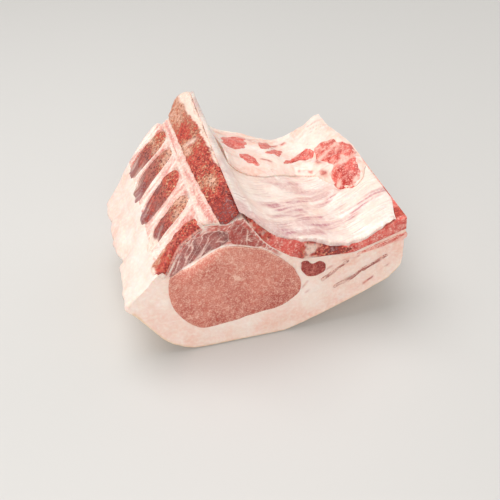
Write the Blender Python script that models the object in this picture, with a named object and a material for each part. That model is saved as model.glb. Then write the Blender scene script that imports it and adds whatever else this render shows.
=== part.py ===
"""A rack of pork: five vertebrae sawn down the middle, their ribs, the loin and the belly, lying on its rind.

Every piece is first made in a straight block, where one outline runs along the whole length. The block is then
bent into the true form by one function, bend(), so that neighbours that fit in the block also fit in the rack.
Lengths are in millimetres until the last step. x runs from the back fat to the rib ends, y along the loin and
z up.
"""

import math

import bmesh
import bpy
import numpy as np

# ---- driving sizes, in millimetres -------------------------------------------------------------------------
LENGTH = 143.0  # from the front cut to the back cut
GAP = 0.4  # free space between neighbours in the straight block
SAW_SLOPE = math.radians(38.96)  # slope of the face that was sawn along the backbone
SAW_START = np.array([-21.0, 74.0])  # x and z of that face at the tips of the feather bones
VERTEBRAE = 5
RIBS = 7
RIB_PITCH = 24.7  # from rib to rib, and from disc to disc
FIRST_RIB = -28.0  # where the middle line of the first rib would leave the backbone
RIB_WIDTH, RIB_BULGE = 13.0, 1.6  # a rib is widest halfway down
RIB_SWEEP = 36.0  # how far each rib runs back on its way to the rib ends
BONE_DEPTH = 4.8  # half of a feather bone, below the sawn face
BODY_DEPTH = 12.8  # half of a vertebral body, below the sawn face
CANAL_EDGES = (37.3, 46.9)  # the spinal canal on the sawn face, from the tips of the feather bones
CANAL_DEPTH = 2.6
NECK_DEPTH, NECK_WIDTH = 6.1, 10.0  # the bridge of bone under the canal
LINING = 2.2  # the white skin over the ribs
LINING_EDGE = 140.5  # x of its edge at the rib ends
LINING_SWELL = 1.3  # it stands higher over each rib
FLAP = 5.5  # the loose fat along the back rim
RIM_EDGE, RIM_LUMP = 2.5, 5.0  # thickness of the loose fat at the back cut, and how much more in its lump there
FRONT_HOLLOW = 17.0  # the front cut follows the first feather bone, which leans back
HOLLOW_SPAN, HOLLOW_SIDE, HOLLOW_DEPTH = (-2.0, 54.0), 22.0, 20.0  # where on the sawn face, its slopes, its depth
SHOULDER_CUT = 32.0  # the back cut comes this much nearer at the back fat
SHOULDER_FROM, SHOULDER_WIDTH = 2.0, 48.0  # x where it begins to, and over what width
TONGUE = 10.0  # the last body stands out behind the back cut
TONGUE_FOOT, TONGUE_HEAD = (103.6, 5.5), (107.5, 7.0)  # z where it begins and ends, and the heights of its slopes
RIDGE_RISE, RIDGE_FOOT = 3.0, 103.0  # the ridge of the backbone is higher at the back, from this z up
SQUEEZE, SQUEEZE_AT, SQUEEZE_WIDTH = 6.5, 50.0, 13.0  # the side of the backbone is steeper at the back
TROUGH, TROUGH_FROM, TROUGH_SIDE = 14.0, 33.0, 14.0  # the ribs lie lower at the back, from this x on
TROUGH_END, TROUGH_LEFT = 118.0, 0.6  # it is shallower again towards the rib ends
UPPER_FROM, UPPER_HEIGHT = 20.0, 45.0  # the underside stays flat: z where the squeeze and the trough begin
RIB_END_INSET, INSET_FROM = 7.5, 85.0  # the corner of the rib ends at the back cut is drawn in, from this y on
CANAL_FRONT, CANAL_SLANT = 3.5, 9.0  # shift of the canal on the sawn face at the front, and how far it comes back
CANAL_SPREAD = 9.0  # how far beside the canal the shift fades
CANAL_END = 136.0  # the lining of the canal ends before the back cut
SKIN_NOTCHES = [(45.0, 3.0), (88.0, 2.2)]  # folds in the edge of the skin: place along the length, and depth
NOTCH_WIDTH = 6.0
STATIONS = 10  # steps along the length of a piece that runs through
MERGE = 0.01  # points nearer than this are one point

# ---- outlines of the front cut, as x and z -----------------------------------------------------------------
RIND = [(-43.4, 51.4), (-43.4, 48.8), (-40, 43.6), (-36, 37), (-30, 26), (-23.5, 15.5), (-17, 8.8), (-9.5, 3.2),
        (-2, 0.5), (4, 0), (33, 0), (62, 0), (72, 3.4), (84, 7.8), (95, 12), (107, 17.4), (119, 23.4), (130, 28.9),
        (137, 33.7), (141.4, 39.2), (144.5, 45), (145, 53), (144.5, 61), (143.8, 68), (143.2, 75.4)]
BACK_FAT = [(-22.6, 73), (-26, 70), (-31, 64.2), (-38, 57.2)]
EYE = [(-14.3, 67.9), (-8.7, 69.8), (1.2, 74.1), (10.3, 80.6), (19.6, 85.9), (26, 87), (37.7, 83.4), (47.4, 78.6),
       (57.5, 69.8), (65.2, 61.6), (69.6, 53.2), (71.6, 46), (71.6, 38.5), (68.2, 32.8), (58.9, 26.9),
       (48.3, 24.6), (28, 21.4), (7.1, 19.3), (-0.3, 22.4), (-7.3, 29.2), (-12.3, 39.2), (-15.2, 49.2),
       (-15.9, 58.8)]
MULTIFIDUS = [(24.6, 100.5), (26.6, 102.8), (30.6, 102.6), (34.9, 98.8), (38.6, 93.6), (42.6, 87.6), (44, 84.8),
              (41.4, 84), (33.8, 86.9), (26.4, 90.2), (24.8, 94)]
SIDE_MUSCLE = [(71.6, 61.8), (75.6, 62.6), (80, 60.4), (84.6, 60.9), (89, 57.2), (88, 51.4), (82.4, 48.2),
               (76.8, 49.4), (73, 54.4)]
FLANK_LEAN = [(111, 60.6), (118, 61.4), (126.3, 63.2), (136, 65.6), (143.95, 67.8), (143.55, 72.4), (136, 70.2),
              (126, 66.8), (118, 64.2), (112, 62.2)]
BELLY_LEAN = [(97.4, 33.8), (108.2, 38.2), (116.2, 44.6), (124.8, 48.8), (132.4, 53.8), (131.6, 55.4),
              (124, 50.8), (115.2, 46.6), (107.2, 40.2), (97, 36)]
GREY_LEAN = [(88.4, 42.6), (96.9, 49), (105, 55.6), (104, 57.2), (96, 51.2), (87.8, 44.6)]

# ---- the spinalis muscle, as distance from the feather bone tips and depth below the sawn face --------------
SPINALIS = [(2.4, 7.2), (9, 7), (18, 7), (29, 7), (33, 7.8), (42, 7.8), (46, 8.6), (47.4, 10), (46.4, 12.8),
            (44, 14.2), (38, 14), (30, 13), (22, 12.4), (12, 10.8), (5, 8.8)]

# ---- the rib layer: pairs of points above and below it, from the backbone to the rib ends -------------------
CAGE_TOP = np.array([(38.6, 105.2), (43.3, 99.6), (49.8, 92.6), (56.4, 87.4), (62, 84.5), (69, 81.6),
                     (76.5, 79.3), (83.5, 76.6), (90, 73), (96, 70.8), (102, 70.2), (108.6, 70.6), (115, 73.2),
                     (123.8, 78.2), (133.5, 83.4), (142.2, 86)])
CAGE_BASE = np.array([(36.4, 102.6), (40.5, 95.5), (45, 88), (50.5, 81.4), (57, 75.8), (64, 70), (72, 66),
                      (81, 65), (88.5, 64.8), (95.5, 64.2), (102, 63.6), (109, 63.8), (116, 66.4),
                      (125.5, 69.8), (135, 73.2), (143.2, 76)])
RIDGE_SIDE = np.array([(30.4, 112.2), (33.4, 110.0), (36.3, 106.8)])

# ---- feather bones, as places along the length: middle and half width, at the tip and at the base ----------
FEATHER_TIPS = [(8, 7.5), (31, 6.5), (59, 8), (88, 9.5), (113.5, 8)]
FEATHER_BASES = [(20, 7.5), (45, 9), (74, 11.5), (100, 8.5), (124, 10.5)]
FOOT = CANAL_EDGES[0] - 0.5  # where the feather bones end beside the canal
DISC_LINES = [20.0 + RIB_PITCH * k for k in range(VERTEBRAE - 1)]
DISC_HALF = 1.7
DISC_SLANT, SLANT_ABOUT = 0.28, 57.0  # the discs lie aslant on the sawn face, about the middle of the bodies
FRONT_DEPTH, DEEP_FROM = 3.2, 20.0  # the first body is thin at the front cut, and deepens

# ---- red meat in the loose fat of the back rim, as x and y --------------------------------------------------
RIM_MEAT = {
    "rim_meat_1": [(48.5, 130), (54, 134.5), (62, 134), (66, 127), (60, 119.5), (53, 119.5), (49, 124)],
    "rim_meat_2": [(60, 109), (67, 107), (69, 97), (67, 92), (62, 96)],
    "rim_meat_3": [(78, 134), (88, 133), (87, 125), (81, 119), (75.5, 121)],
    "rim_meat_4": [(78, 112), (88, 118), (95, 120), (94, 112), (86, 107)],
    "rim_meat_5": [(88, 103), (99, 109), (111, 113), (111, 106), (106, 100), (96, 99)],
}
DIAPHRAGM = [(115, 102), (121, 106), (130, 103), (135, 94), (138, 84), (137, 70), (132, 59), (126, 55),
             (119.5, 60), (116.5, 70), (114, 85)]

RIM_MEAT_SIZE, DIAPHRAGM_SIZE = (1.6, 0.8, 12), (3.0, 3.0, 16)  # depth in the fat, height over it, points round
RIM_FLOOR = 2 * GAP + LINING  # the loose fat lies this high over the rib layer
FLAP_FRONT = [(38, 86), (47, 80), (60, 81), (70, 82), (83, 87), (97, 91), (110, 86), (116, 66), (121, 54),
              (127, 49), (133, 52), (138, 62), (146, 66)]

COLOURS = {
    "fat": (0.86, 0.74, 0.66), "loin": (0.62, 0.30, 0.25), "dark_meat": (0.36, 0.05, 0.04),
    "red_meat": (0.58, 0.10, 0.07), "bone": (0.48, 0.17, 0.10), "cartilage": (0.84, 0.76, 0.70),
    "lining": (0.84, 0.70, 0.68),
}


# ---- small helpers ------------------------------------------------------------------------------------------
def smooth(value):
    """A step from 0 to 1 with soft ends."""
    t = np.clip(value, 0.0, 1.0)
    return t * t * (3.0 - 2.0 * t)


def sheet(along, depth):
    """x and z of a point given by its distance from the feather bone tips and its depth below the sawn face."""
    x = SAW_START[0] + along * math.cos(SAW_SLOPE) + depth * math.sin(SAW_SLOPE)
    z = SAW_START[1] + along * math.sin(SAW_SLOPE) - depth * math.cos(SAW_SLOPE)
    return x, z


def sheet_place(x, z):
    """The other way round: distance from the tips and depth below the sawn face."""
    dx = x - SAW_START[0]
    dz = z - SAW_START[1]
    along = dx * math.cos(SAW_SLOPE) + dz * math.sin(SAW_SLOPE)
    depth = dx * math.sin(SAW_SLOPE) - dz * math.cos(SAW_SLOPE)
    return along, depth


def front_cut(x, z):
    """Where the front cut lies: flat, but hollow beside the last feather bone."""
    along, depth = sheet_place(x, z)
    sides = smooth((along - HOLLOW_SPAN[0]) / HOLLOW_SIDE) * smooth((HOLLOW_SPAN[1] - along) / HOLLOW_SIDE)
    return FRONT_HOLLOW * sides * (1 - smooth(depth / HOLLOW_DEPTH))


def back_cut(x, z):
    """Where the back cut lies: nearer at the back fat, with a round tongue at the top of the backbone."""
    tongue = smooth((z - TONGUE_FOOT[0]) / TONGUE_FOOT[1]) - smooth((z - TONGUE_HEAD[0]) / TONGUE_HEAD[1])
    return LENGTH - SHOULDER_CUT * smooth((SHOULDER_FROM - x) / SHOULDER_WIDTH) + TONGUE * tongue


def block_y(x, z, y):
    """The place along the straight block that bend() brings to the true place y."""
    front = front_cut(x, z)
    return (y - front) / (back_cut(x, z) - front) * LENGTH


def bend(points):
    """Bends the straight block into the rack: hollow cuts, a steeper backbone and a lower trough at the back.

    Every change is a smooth shift that is added to the place in the block.
    """
    x, y, z = points.T
    part = y / LENGTH
    along, depth = sheet_place(x, z)
    slide = CANAL_FRONT - CANAL_SLANT * part * (2 - part)
    slide = slide * np.exp(-(((along - CANAL_EDGES[1]) / CANAL_SPREAD) ** 2)) * np.clip(1 - depth / BODY_DEPTH, 0, 1)
    front = front_cut(x, z)
    true_y = front + (back_cut(x, z) - front) * part
    upper = smooth((z - UPPER_FROM) / UPPER_HEIGHT) * part
    squeeze = SQUEEZE * np.exp(-(((x - SQUEEZE_AT) / SQUEEZE_WIDTH) ** 2)) * upper
    rib_ends = 1 - (1 - TROUGH_LEFT) * smooth((x - TROUGH_END) / 26)
    trough = TROUGH * smooth((x - TROUGH_FROM) / TROUGH_SIDE) * rib_ends * upper
    rise = RIDGE_RISE * smooth((z - RIDGE_FOOT) / 9) * np.clip(2 * part - 1, 0, 1.2)
    fold = sum(depth * np.exp(-(((true_y - place) / NOTCH_WIDTH) ** 2)) for place, depth in SKIN_NOTCHES)
    fold = fold * smooth((-26 - x) / 14)
    inset = RIB_END_INSET * smooth((x - 96) / 44) * smooth((true_y - INSET_FROM) / 52) * smooth((z - 30) / 40)
    new_x = x - squeeze - inset + fold + slide * math.cos(SAW_SLOPE)
    return np.stack([new_x, true_y, z - trough + rise + slide * math.sin(SAW_SLOPE)], axis=1)


def rounded(points, count):
    """A closed curve through the points, as count evenly spaced points."""
    knots = np.asarray(points, float)
    steps = np.linspace(0, 1, 9)[:-1]
    before, after, last = np.roll(knots, 1, 0), np.roll(knots, -1, 0), np.roll(knots, -2, 0)
    spans = []
    for t in steps:
        spans.append(0.5 * (2 * knots + (after - before) * t + (2 * before - 5 * knots + 4 * after - last) * t**2
                            + (3 * knots - before - 3 * after + last) * t**3))
    fine = np.stack(spans, axis=1).reshape(-1, 2)
    loop = np.vstack([fine, fine[:1]])
    walked = np.concatenate([[0], np.cumsum(np.linalg.norm(np.diff(loop, axis=0), axis=1))])
    wanted = np.linspace(0, walked[-1], count, endpoint=False)
    return np.stack([np.interp(wanted, walked, loop[:, k]) for k in (0, 1)], axis=1)


def grown(points, by):
    """A closed outline with each side moved outward by one distance."""
    outline = np.asarray(points, float)
    sides = np.roll(outline, -1, 0) - outline
    sides /= np.linalg.norm(sides, axis=1)[:, None]
    area = np.sum(outline[:, 0] * np.roll(outline[:, 1], -1) - np.roll(outline[:, 0], -1) * outline[:, 1])
    after = np.stack([sides[:, 1], -sides[:, 0]], axis=1) * math.copysign(1.0, area)
    before = np.roll(after, 1, 0)
    spread = np.maximum(1 + np.sum(after * before, axis=1), 0.35)
    return outline + by * (after + before) / spread[:, None]


# ---- making meshes ------------------------------------------------------------------------------------------
def mesh_object(name, rings, split=True):
    """A closed solid through equal rings of points, capped at both ends. Neighbours are split into triangles alike."""
    bm = bmesh.new()
    rows = [[bm.verts.new(point) for point in ring] for ring in rings]
    count = len(rows[0])
    for near, far in zip(rows, rows[1:]):
        for k in range(count):
            after = (k + 1) % count
            if split:
                bm.faces.new((near[k], near[after], far[after]))
                bm.faces.new((near[k], far[after], far[k]))
            else:
                bm.faces.new((near[k], near[after], far[after], far[k]))
    bm.faces.new(rows[0])
    bm.faces.new(rows[-1])
    bmesh.ops.recalc_face_normals(bm, faces=bm.faces)
    mesh = bpy.data.meshes.new(name)
    bm.to_mesh(mesh)
    bm.free()
    made = bpy.data.objects.new(name, mesh)
    bpy.context.collection.objects.link(made)
    return made


def prism(name, outline, start=0.0, end=LENGTH, steps=STATIONS):
    """An x and z outline that runs along the length."""
    return mesh_object(name, [[(x, y, z) for x, z in outline] for y in np.linspace(start, end, steps + 1)])


def tunnel(name, outline):
    """A cutter for a piece that runs through: the stations of prism(), and one more beyond each end."""
    inner = np.linspace(0, LENGTH, STATIONS + 1)
    return mesh_object(name, [[(x, y, z) for x, z in outline] for y in [-20.0, *inner, LENGTH + 20.0]])


def sheet_slab(name, outline, top, base, beyond=0.0):
    """A plate on the sawn face: an outline of (along, true y) pairs between two depths, cut off at the end cuts."""
    rings = []
    for depth in (top, base):
        ring = []
        for along, y in outline:
            x, z = sheet(along, depth)
            ring.append((x, float(np.clip(block_y(x, z, y), -beyond, LENGTH + beyond)), z))
        rings.append(ring)
    return mesh_object(name, rings)


def combine(target, others, operation):
    """Adds, cuts or keeps what is common, then removes the other solids."""
    for other in others:
        step = target.modifiers.new("combine", "BOOLEAN")
        step.operation = operation
        step.object = other
        step.solver = "EXACT"
    scene = bpy.context.evaluated_depsgraph_get()
    mesh = bpy.data.meshes.new_from_object(target.evaluated_get(scene))
    target.modifiers.clear()
    target.data = mesh
    for other in others:
        bpy.data.objects.remove(other)
    return target


def trimmed(target):
    """What lies between the two end cuts of the straight block."""
    keep = prism("keep", [(-80, -40), (200, -40), (200, 160), (-80, 160)], steps=1)
    return combine(target, [keep], "INTERSECT")


# ---- muscles that run through the fat -----------------------------------------------------------------------
def muscle_outlines():
    """The outline of each muscle and lean layer, with the number of points that its form needs."""
    spinalis = [sheet(along, depth) for along, depth in SPINALIS]
    return {
        "loin_eye": rounded(EYE, 34),
        "spinalis_muscle": rounded(spinalis, 22),
        "multifidus_muscle": rounded(MULTIFIDUS, 16),
        "side_muscle": rounded(SIDE_MUSCLE, 16),
        "flank_lean": np.array(FLANK_LEAN, float),
        "belly_lean": np.array(BELLY_LEAN, float),
        "grey_lean": np.array(GREY_LEAN, float),
    }


def make_muscles():
    made = {name: prism(name, outline) for name, outline in muscle_outlines().items()}
    combine(made["multifidus_muscle"], [spine_block("spine_space", GAP)], "DIFFERENCE")
    return made


# ---- fat and rind -------------------------------------------------------------------------------------------
def fat_outline():
    """The outline of the fat: over the back fat, down the rind, up the rib ends and back under the ribs."""
    under_ribs = grown(np.vstack([CAGE_BASE, [(150, 120)], [(60, 130)]]), GAP)[len(CAGE_BASE) - 1::-1]
    under_ribs[0, 0] = RIND[-1][0]
    corner = [sheet(along, depth) for along, depth in (
        (62.5, 6.0), (60, 4), (CANAL_EDGES[1] + 0.1, 4), (CANAL_EDGES[1] + 0.1, CANAL_DEPTH + GAP),
        (CANAL_EDGES[0] - 0.4, CANAL_DEPTH + GAP), (CANAL_EDGES[0] - 0.4, BONE_DEPTH + GAP),
        (18, BONE_DEPTH + GAP), (-1.2, BONE_DEPTH + GAP), (-1.4, 0.2))]
    return np.array(BACK_FAT + RIND + [tuple(p) for p in under_ribs] + corner)


def make_fat():
    fat = prism("fat_and_rind", fat_outline(), steps=2 * STATIONS)
    cutters = [tunnel(name, grown(outline, GAP)) for name, outline in muscle_outlines().items()]
    cutters.append(spine_block("spine_space", GAP))
    cutters += [neck(k, GAP) for k in range(VERTEBRAE)]
    return combine(fat, cutters, "DIFFERENCE")


# ---- backbone -----------------------------------------------------------------------------------------------
def body_outline(depth, spare):
    """Half of a vertebral body in the front cut: flat on the sawn face, sloped beside the ribs."""
    low = depth + spare
    left = CANAL_EDGES[1] + 0.6 - spare
    floor = [sheet(along, low) for along in (64.5, 60, 56, 52, left)]
    if spare:
        return [sheet(left, -8), sheet(84, -8), sheet(84, low)] + floor
    side = [(27.4, 112.6), (30.2, 112.0), (33.2, 109.8), (36.0, 106.6)]
    if depth < BODY_DEPTH:
        side = [(27.4, 112.6), (28.4, 112.3), (29.1, 111.8), (29.5, 111.2)]
        floor = [sheet(along, low) for along in (61.5, 58.5, 55, 51.5, left)]
    return [sheet(along, 0.3) for along in (left, 50.5, 53, 56, 59)] + side + floor


def spine_block(name, spare):
    """The space that all the bodies and discs fill, shallow at the front cut."""
    shallow = body_outline(FRONT_DEPTH, spare)
    deep = body_outline(BODY_DEPTH, spare)
    rings = []
    for outline, y in ((shallow, -12.0), (shallow, 0.0), (deep, DEEP_FROM), (deep, LENGTH + 12)):
        rings.append([(x, y, z) for x, z in outline])
    return mesh_object(name, rings)


def body_piece(name, start, end, steps):
    """A stretch of the backbone between two lines that slant across it."""
    shallow, deep = np.array(body_outline(FRONT_DEPTH, 0)), np.array(body_outline(BODY_DEPTH, 0))
    along, _ = sheet_place(*deep.T)
    rings = []
    for middle in np.linspace(start, end, steps + 1):
        y = middle + DISC_SLANT * (SLANT_ABOUT - along) * smooth(min(middle, LENGTH - middle) / 15)
        share = np.clip(y / DEEP_FROM, 0, 1)[:, None]
        section = shallow + (deep - shallow) * share
        rings.append(np.stack([section[:, 0], y, section[:, 1]], axis=1))
    return mesh_object(name, rings)


def neck(k, spare):
    """The bridge under the canal, from a body to its feather bone."""
    ends = [0.0] + DISC_LINES + [LENGTH]
    body_middle = min(0.5 * (ends[k] + ends[k + 1]), FEATHER_BASES[k][0])
    base_middle, half = FEATHER_BASES[k][0], NECK_WIDTH / 2 + spare
    near, far = CANAL_EDGES[0] - 3.5 - spare, CANAL_EDGES[1] + 3.0 + spare
    places = [near, CANAL_EDGES[0] - 0.4, CANAL_EDGES[1] + 0.1, far]
    outline = []
    for side, way in ((-half, places), (half, places[::-1])):
        for along in way:
            share = (along - near) / (far - near)
            outline.append((along, base_middle + (body_middle - base_middle) * share + side))
    top = CANAL_DEPTH + GAP - 3 * spare
    return sheet_slab(f"neck_{k}", outline, top, NECK_DEPTH + spare, beyond=10 * spare)


def feather_outline(k):
    """A feather bone on the sawn face: a bar that leans forward, with a round tip."""
    tip, tip_half = FEATHER_TIPS[k]
    base, base_half = FEATHER_BASES[k]
    outline = [(FOOT, base + base_half), (FOOT, base - base_half), (FOOT * 0.5, (base + tip) / 2 - tip_half - 0.6)]
    for angle in np.radians([-80, -40, 0, 40, 80]):
        outline.append((4.0 - 4.5 * math.cos(angle), tip + tip_half * math.sin(angle)))
    outline.append((FOOT * 0.5, (base + tip) / 2 + (tip_half + base_half) / 2))
    return outline


def make_backbone():
    made = {}
    side = DISC_HALF + GAP
    starts = [0.0] + [line + side for line in DISC_LINES]
    stops = [line - side for line in DISC_LINES] + [LENGTH]
    for k in range(VERTEBRAE):
        name = f"vertebra_{k + 1}"
        bone = body_piece(name, starts[k], stops[k], 3)
        feather = sheet_slab("feather", feather_outline(k), 0.7, BONE_DEPTH)
        made[name] = combine(bone, [neck(k, 0.0), feather], "UNION")
    for k, middle in enumerate(DISC_LINES):
        name = f"disc_{k + 1}"
        made[name] = body_piece(name, middle - DISC_HALF, middle + DISC_HALF, 1)
    return made


def make_ligaments():
    """White and pink strips between the feather bones, and from the last one to the back cut."""
    made = {}
    middle = FOOT * 0.5
    for k in range(VERTEBRAE):
        tip, tip_half = FEATHER_TIPS[k]
        base, base_half = FEATHER_BASES[k]
        near = [(FOOT, base + base_half + GAP), (middle, (base + tip) / 2 + (tip_half + base_half) / 2 + GAP),
                (3.2, tip + tip_half + 1.5), (-0.7, tip + tip_half + 1.0)]
        if k + 1 < VERTEBRAE:
            next_tip, next_half = FEATHER_TIPS[k + 1]
            next_base, next_base_half = FEATHER_BASES[k + 1]
            far = [(-0.7, next_tip - next_half - 1.0), (3.2, next_tip - next_half - 1.5),
                   (middle, (next_base + next_tip) / 2 - next_half - 0.6 - GAP),
                   (FOOT, next_base - next_base_half - GAP)]
        else:
            far = [(along, LENGTH) for along in (-0.7, 3.2, middle, FOOT - 6)] + [(FOOT, CANAL_END)]
        name = f"ligament_{k + 1}"
        made[name] = sheet_slab(name, near + far, -0.3, BONE_DEPTH)
    return made


def make_canal():
    """The white lining of the spinal canal, a shallow trough beside the bodies."""
    left, right = CANAL_EDGES[0], CANAL_EDGES[1]
    width = right - left
    section = [(left, 0.1), (left + 0.28 * width, 0.9), (left + 0.55 * width, 1.1), (right - 0.15 * width, 0.7),
               (right, 0.1), (right, CANAL_DEPTH), (left, CANAL_DEPTH)]
    outline = [sheet(along, depth) for along, depth in section]
    return {"canal_lining": prism("canal_lining", outline, end=CANAL_END)}


# ---- ribs and the meat between them -------------------------------------------------------------------------
def rib_line(k, x):
    """Where the middle of rib k lies along the length, at the distance x from the backbone."""
    sweep = RIB_SWEEP * np.sin(0.5 * math.pi * np.clip((x - 38) / 82, 0, 1))
    return FIRST_RIB + RIB_PITCH * k + sweep


def cage_band(name, edge_near, edge_far):
    """A band across the rib layer. Each edge gives y for x and for the depth in the layer, from 0 to 1."""
    rings = []
    for top, base in zip(CAGE_TOP, CAGE_BASE):
        ring = []
        for edge, shares in ((edge_near, (0.03, 0.5, 0.97)), (edge_far, (0.97, 0.5, 0.03))):
            for share in shares:
                x, z = top + (base - top) * share
                ring.append((x, edge(top[0], share), z))
        rings.append(ring)
    return trimmed(mesh_object(name, rings, split=False))


def rib_edge(k, side, spare):
    """The edge of rib k on one side: side is -1 or 1, and the rib bulges halfway down."""
    def edge(x, share):
        half = RIB_WIDTH / 2 - RIB_BULGE * (1 - math.sin(math.pi * share)) + spare
        return float(rib_line(k, x)) + side * half
    return edge


def make_cage():
    made = {}
    for k in range(RIBS):
        name = f"rib_{k + 1}"
        made[name] = cage_band(name, rib_edge(k, -1, 0), rib_edge(k, 1, 0))
    for k in range(RIBS - 1):
        name = f"rib_meat_{k + 1}"
        made[name] = cage_band(name, rib_edge(k, 1, GAP), rib_edge(k + 1, -1, GAP))
    front, back = f"rib_meat_{RIBS}", f"rib_meat_{RIBS + 1}"
    made[front] = cage_band(front, rib_edge(-1, 1, GAP), rib_edge(0, -1, GAP))
    made[back] = cage_band(back, rib_edge(RIBS - 1, 1, GAP), lambda x, share: LENGTH + 30.0)
    return made


# ---- lining and loose fat over the ribs ---------------------------------------------------------------------
def inner_line(above):
    """The line over the backbone side and the rib layer in the front cut, lifted by a distance, less at the top."""
    line = np.vstack([RIDGE_SIDE, CAGE_TOP])
    tangent = np.gradient(line, axis=0)
    tangent /= np.linalg.norm(tangent, axis=1)[:, None]
    lift = np.full(len(line), above)
    lift[:3] = GAP + (above - GAP) * np.array([0.3, 0.55, 0.8])
    return line + np.stack([-tangent[:, 1], tangent[:, 0]], axis=1) * lift[:, None]


def inner_height(x, above):
    """Height of that line at x."""
    line = inner_line(above)
    return np.interp(x, line[:, 0], line[:, 1])


def halved(line):
    """The same line with a point more in the middle of each stretch."""
    middles = (line[1:] + line[:-1]) / 2
    finer = np.empty((len(line) + len(middles), 2))
    finer[::2] = line
    finer[1::2] = middles
    return finer


def flap_front(x):
    """Where the loose fat of the back rim begins, and comes forward round the diaphragm."""
    return np.interp(x, *np.transpose(FLAP_FRONT))


def make_lining():
    """The white skin inside the ribs. It swells over each rib, where the flap leaves it free."""
    low = inner_line(GAP)
    high = inner_line(GAP + LINING)
    low[-1, 0] = high[-1, 0] = LINING_EDGE
    rings = []
    for y in np.linspace(0, LENGTH, 2 * STATIONS + 1):
        ring = [(x, y, z) for x, z in low]
        for x, z in high[::-1]:
            free = float(smooth((flap_front(x) - 4 - y) / 10) * smooth((x - 44) / 12) * smooth((138 - x) / 8))
            swell = 0.5 + 0.5 * math.cos(2 * math.pi * (y - float(rib_line(0, x))) / RIB_PITCH)
            ring.append((x, y, z + LINING_SWELL * free * swell))
        rings.append(ring)
    return {"rib_lining": mesh_object("rib_lining", rings)}


def rim_height(x, y):
    """Height of the loose fat's upper side: low at its front edge, full behind it, and lower again at the back."""
    front = float(flap_front(x))
    share = (y - front) / (LENGTH - front)
    back = RIM_EDGE + RIM_LUMP * math.exp(-(((x - 114) / 16) ** 2))
    thick = FLAP * (0.42 + 0.58 * math.sin(0.5 * math.pi * min(1.0, share / 0.2)))
    thick += (back - FLAP) * float(smooth((share - 0.2) / 0.8))
    edge = 1.0 - 0.6 * float(smooth((48 - x) / 6)) - 0.4 * float(smooth((x - 134) / 6))
    wave = 0.7 * math.sin(0.16 * x + 4 * share) * share
    return float(inner_height(x, RIM_FLOOR)) + thick * edge + wave


def make_rim():
    """The loose fat along the back rim, with the red meat that lies in it."""
    line = inner_line(RIM_FLOOR)[len(RIDGE_SIDE) + 1:]
    places = np.vstack([line[:-6], halved(line[-6:])])[:, 0]
    places[-1] = LINING_EDGE - 1.5
    shares = [0.0, 0.06, 0.16, 0.35, 0.6, 0.8, 1.0]
    rings = []
    for x in places:
        front = float(flap_front(x))
        depths = [front + (LENGTH - front) * share for share in shares]
        ring = [(x, y, float(inner_height(x, RIM_FLOOR))) for y in depths]
        rings.append(ring + [(x, y, rim_height(x, y)) for y in depths[::-1]])
    rim = mesh_object("rim_fat", rings)
    made = {}
    cutters = []
    for name, outline in {**RIM_MEAT, "diaphragm": DIAPHRAGM}.items():
        thick, height, points = DIAPHRAGM_SIZE if name == "diaphragm" else RIM_MEAT_SIZE
        loop = rounded(outline, points)
        made[name] = meat_patch(name, loop, -thick, height)
        cutters.append(meat_patch("pocket", grown(loop, 1.5 * GAP), -thick - 1.5 * GAP, 9.0))
    made["rim_fat"] = combine(rim, cutters, "DIFFERENCE")
    return made


def meat_patch(name, loop, low, high):
    """A flat lump with a rounded top, between two heights over the upper side of the loose fat."""
    middle = loop.mean(axis=0)
    rings = []
    for scale, height in ((1.0, low), (1.0, low + 0.7 * (high - low)), (0.72, high)):
        around = middle + (loop - middle) * scale
        rings.append([(x, y, rim_height(x, y) + height) for x, y in around])
    return mesh_object(name, rings)


# ---- the whole rack -----------------------------------------------------------------------------------------
def material(name):
    made = bpy.data.materials.get(name)
    if made is None:
        made = bpy.data.materials.new(name)
        made.use_nodes = True
        shader = made.node_tree.nodes["Principled BSDF"]
        shader.inputs["Base Color"].default_value = (*COLOURS[name], 1.0)
        shader.inputs["Roughness"].default_value = 0.45
    return made


def material_of(name):
    if name.startswith(("vertebra", "rib_")) and not name.startswith(("rib_meat", "rib_lining")):
        return "bone"
    if name in ("side_muscle", "diaphragm"):
        return "dark_meat"
    if name in ("loin_eye", "grey_lean"):
        return "loin"
    if name.startswith(("disc", "canal", "ligament")):
        return "cartilage"
    if name == "rib_lining":
        return "lining"
    return "fat" if "fat" in name else "red_meat"


def stray_points(bm):
    """The points that a Boolean leaves on a straight side of an end cut, each with its two neighbours there."""
    found = []
    for end in (0.0, LENGTH):
        here = {point for point in bm.verts if abs(point.co.y - end) < 0.001}
        for point in here:
            if not all(edge.other_vert(point) in here for edge in point.link_edges):
                continue
            rims = [edge.other_vert(point) for edge in point.link_edges
                    if len({abs(face.normal.y) > 0.9 for face in edge.link_faces}) == 2]
            if len(rims) == 2:
                reach = [(near.co - point.co).length for near in rims]
                found.append((point.index, rims[0].index, rims[1].index, reach[0] / sum(reach)))
    return found


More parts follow.
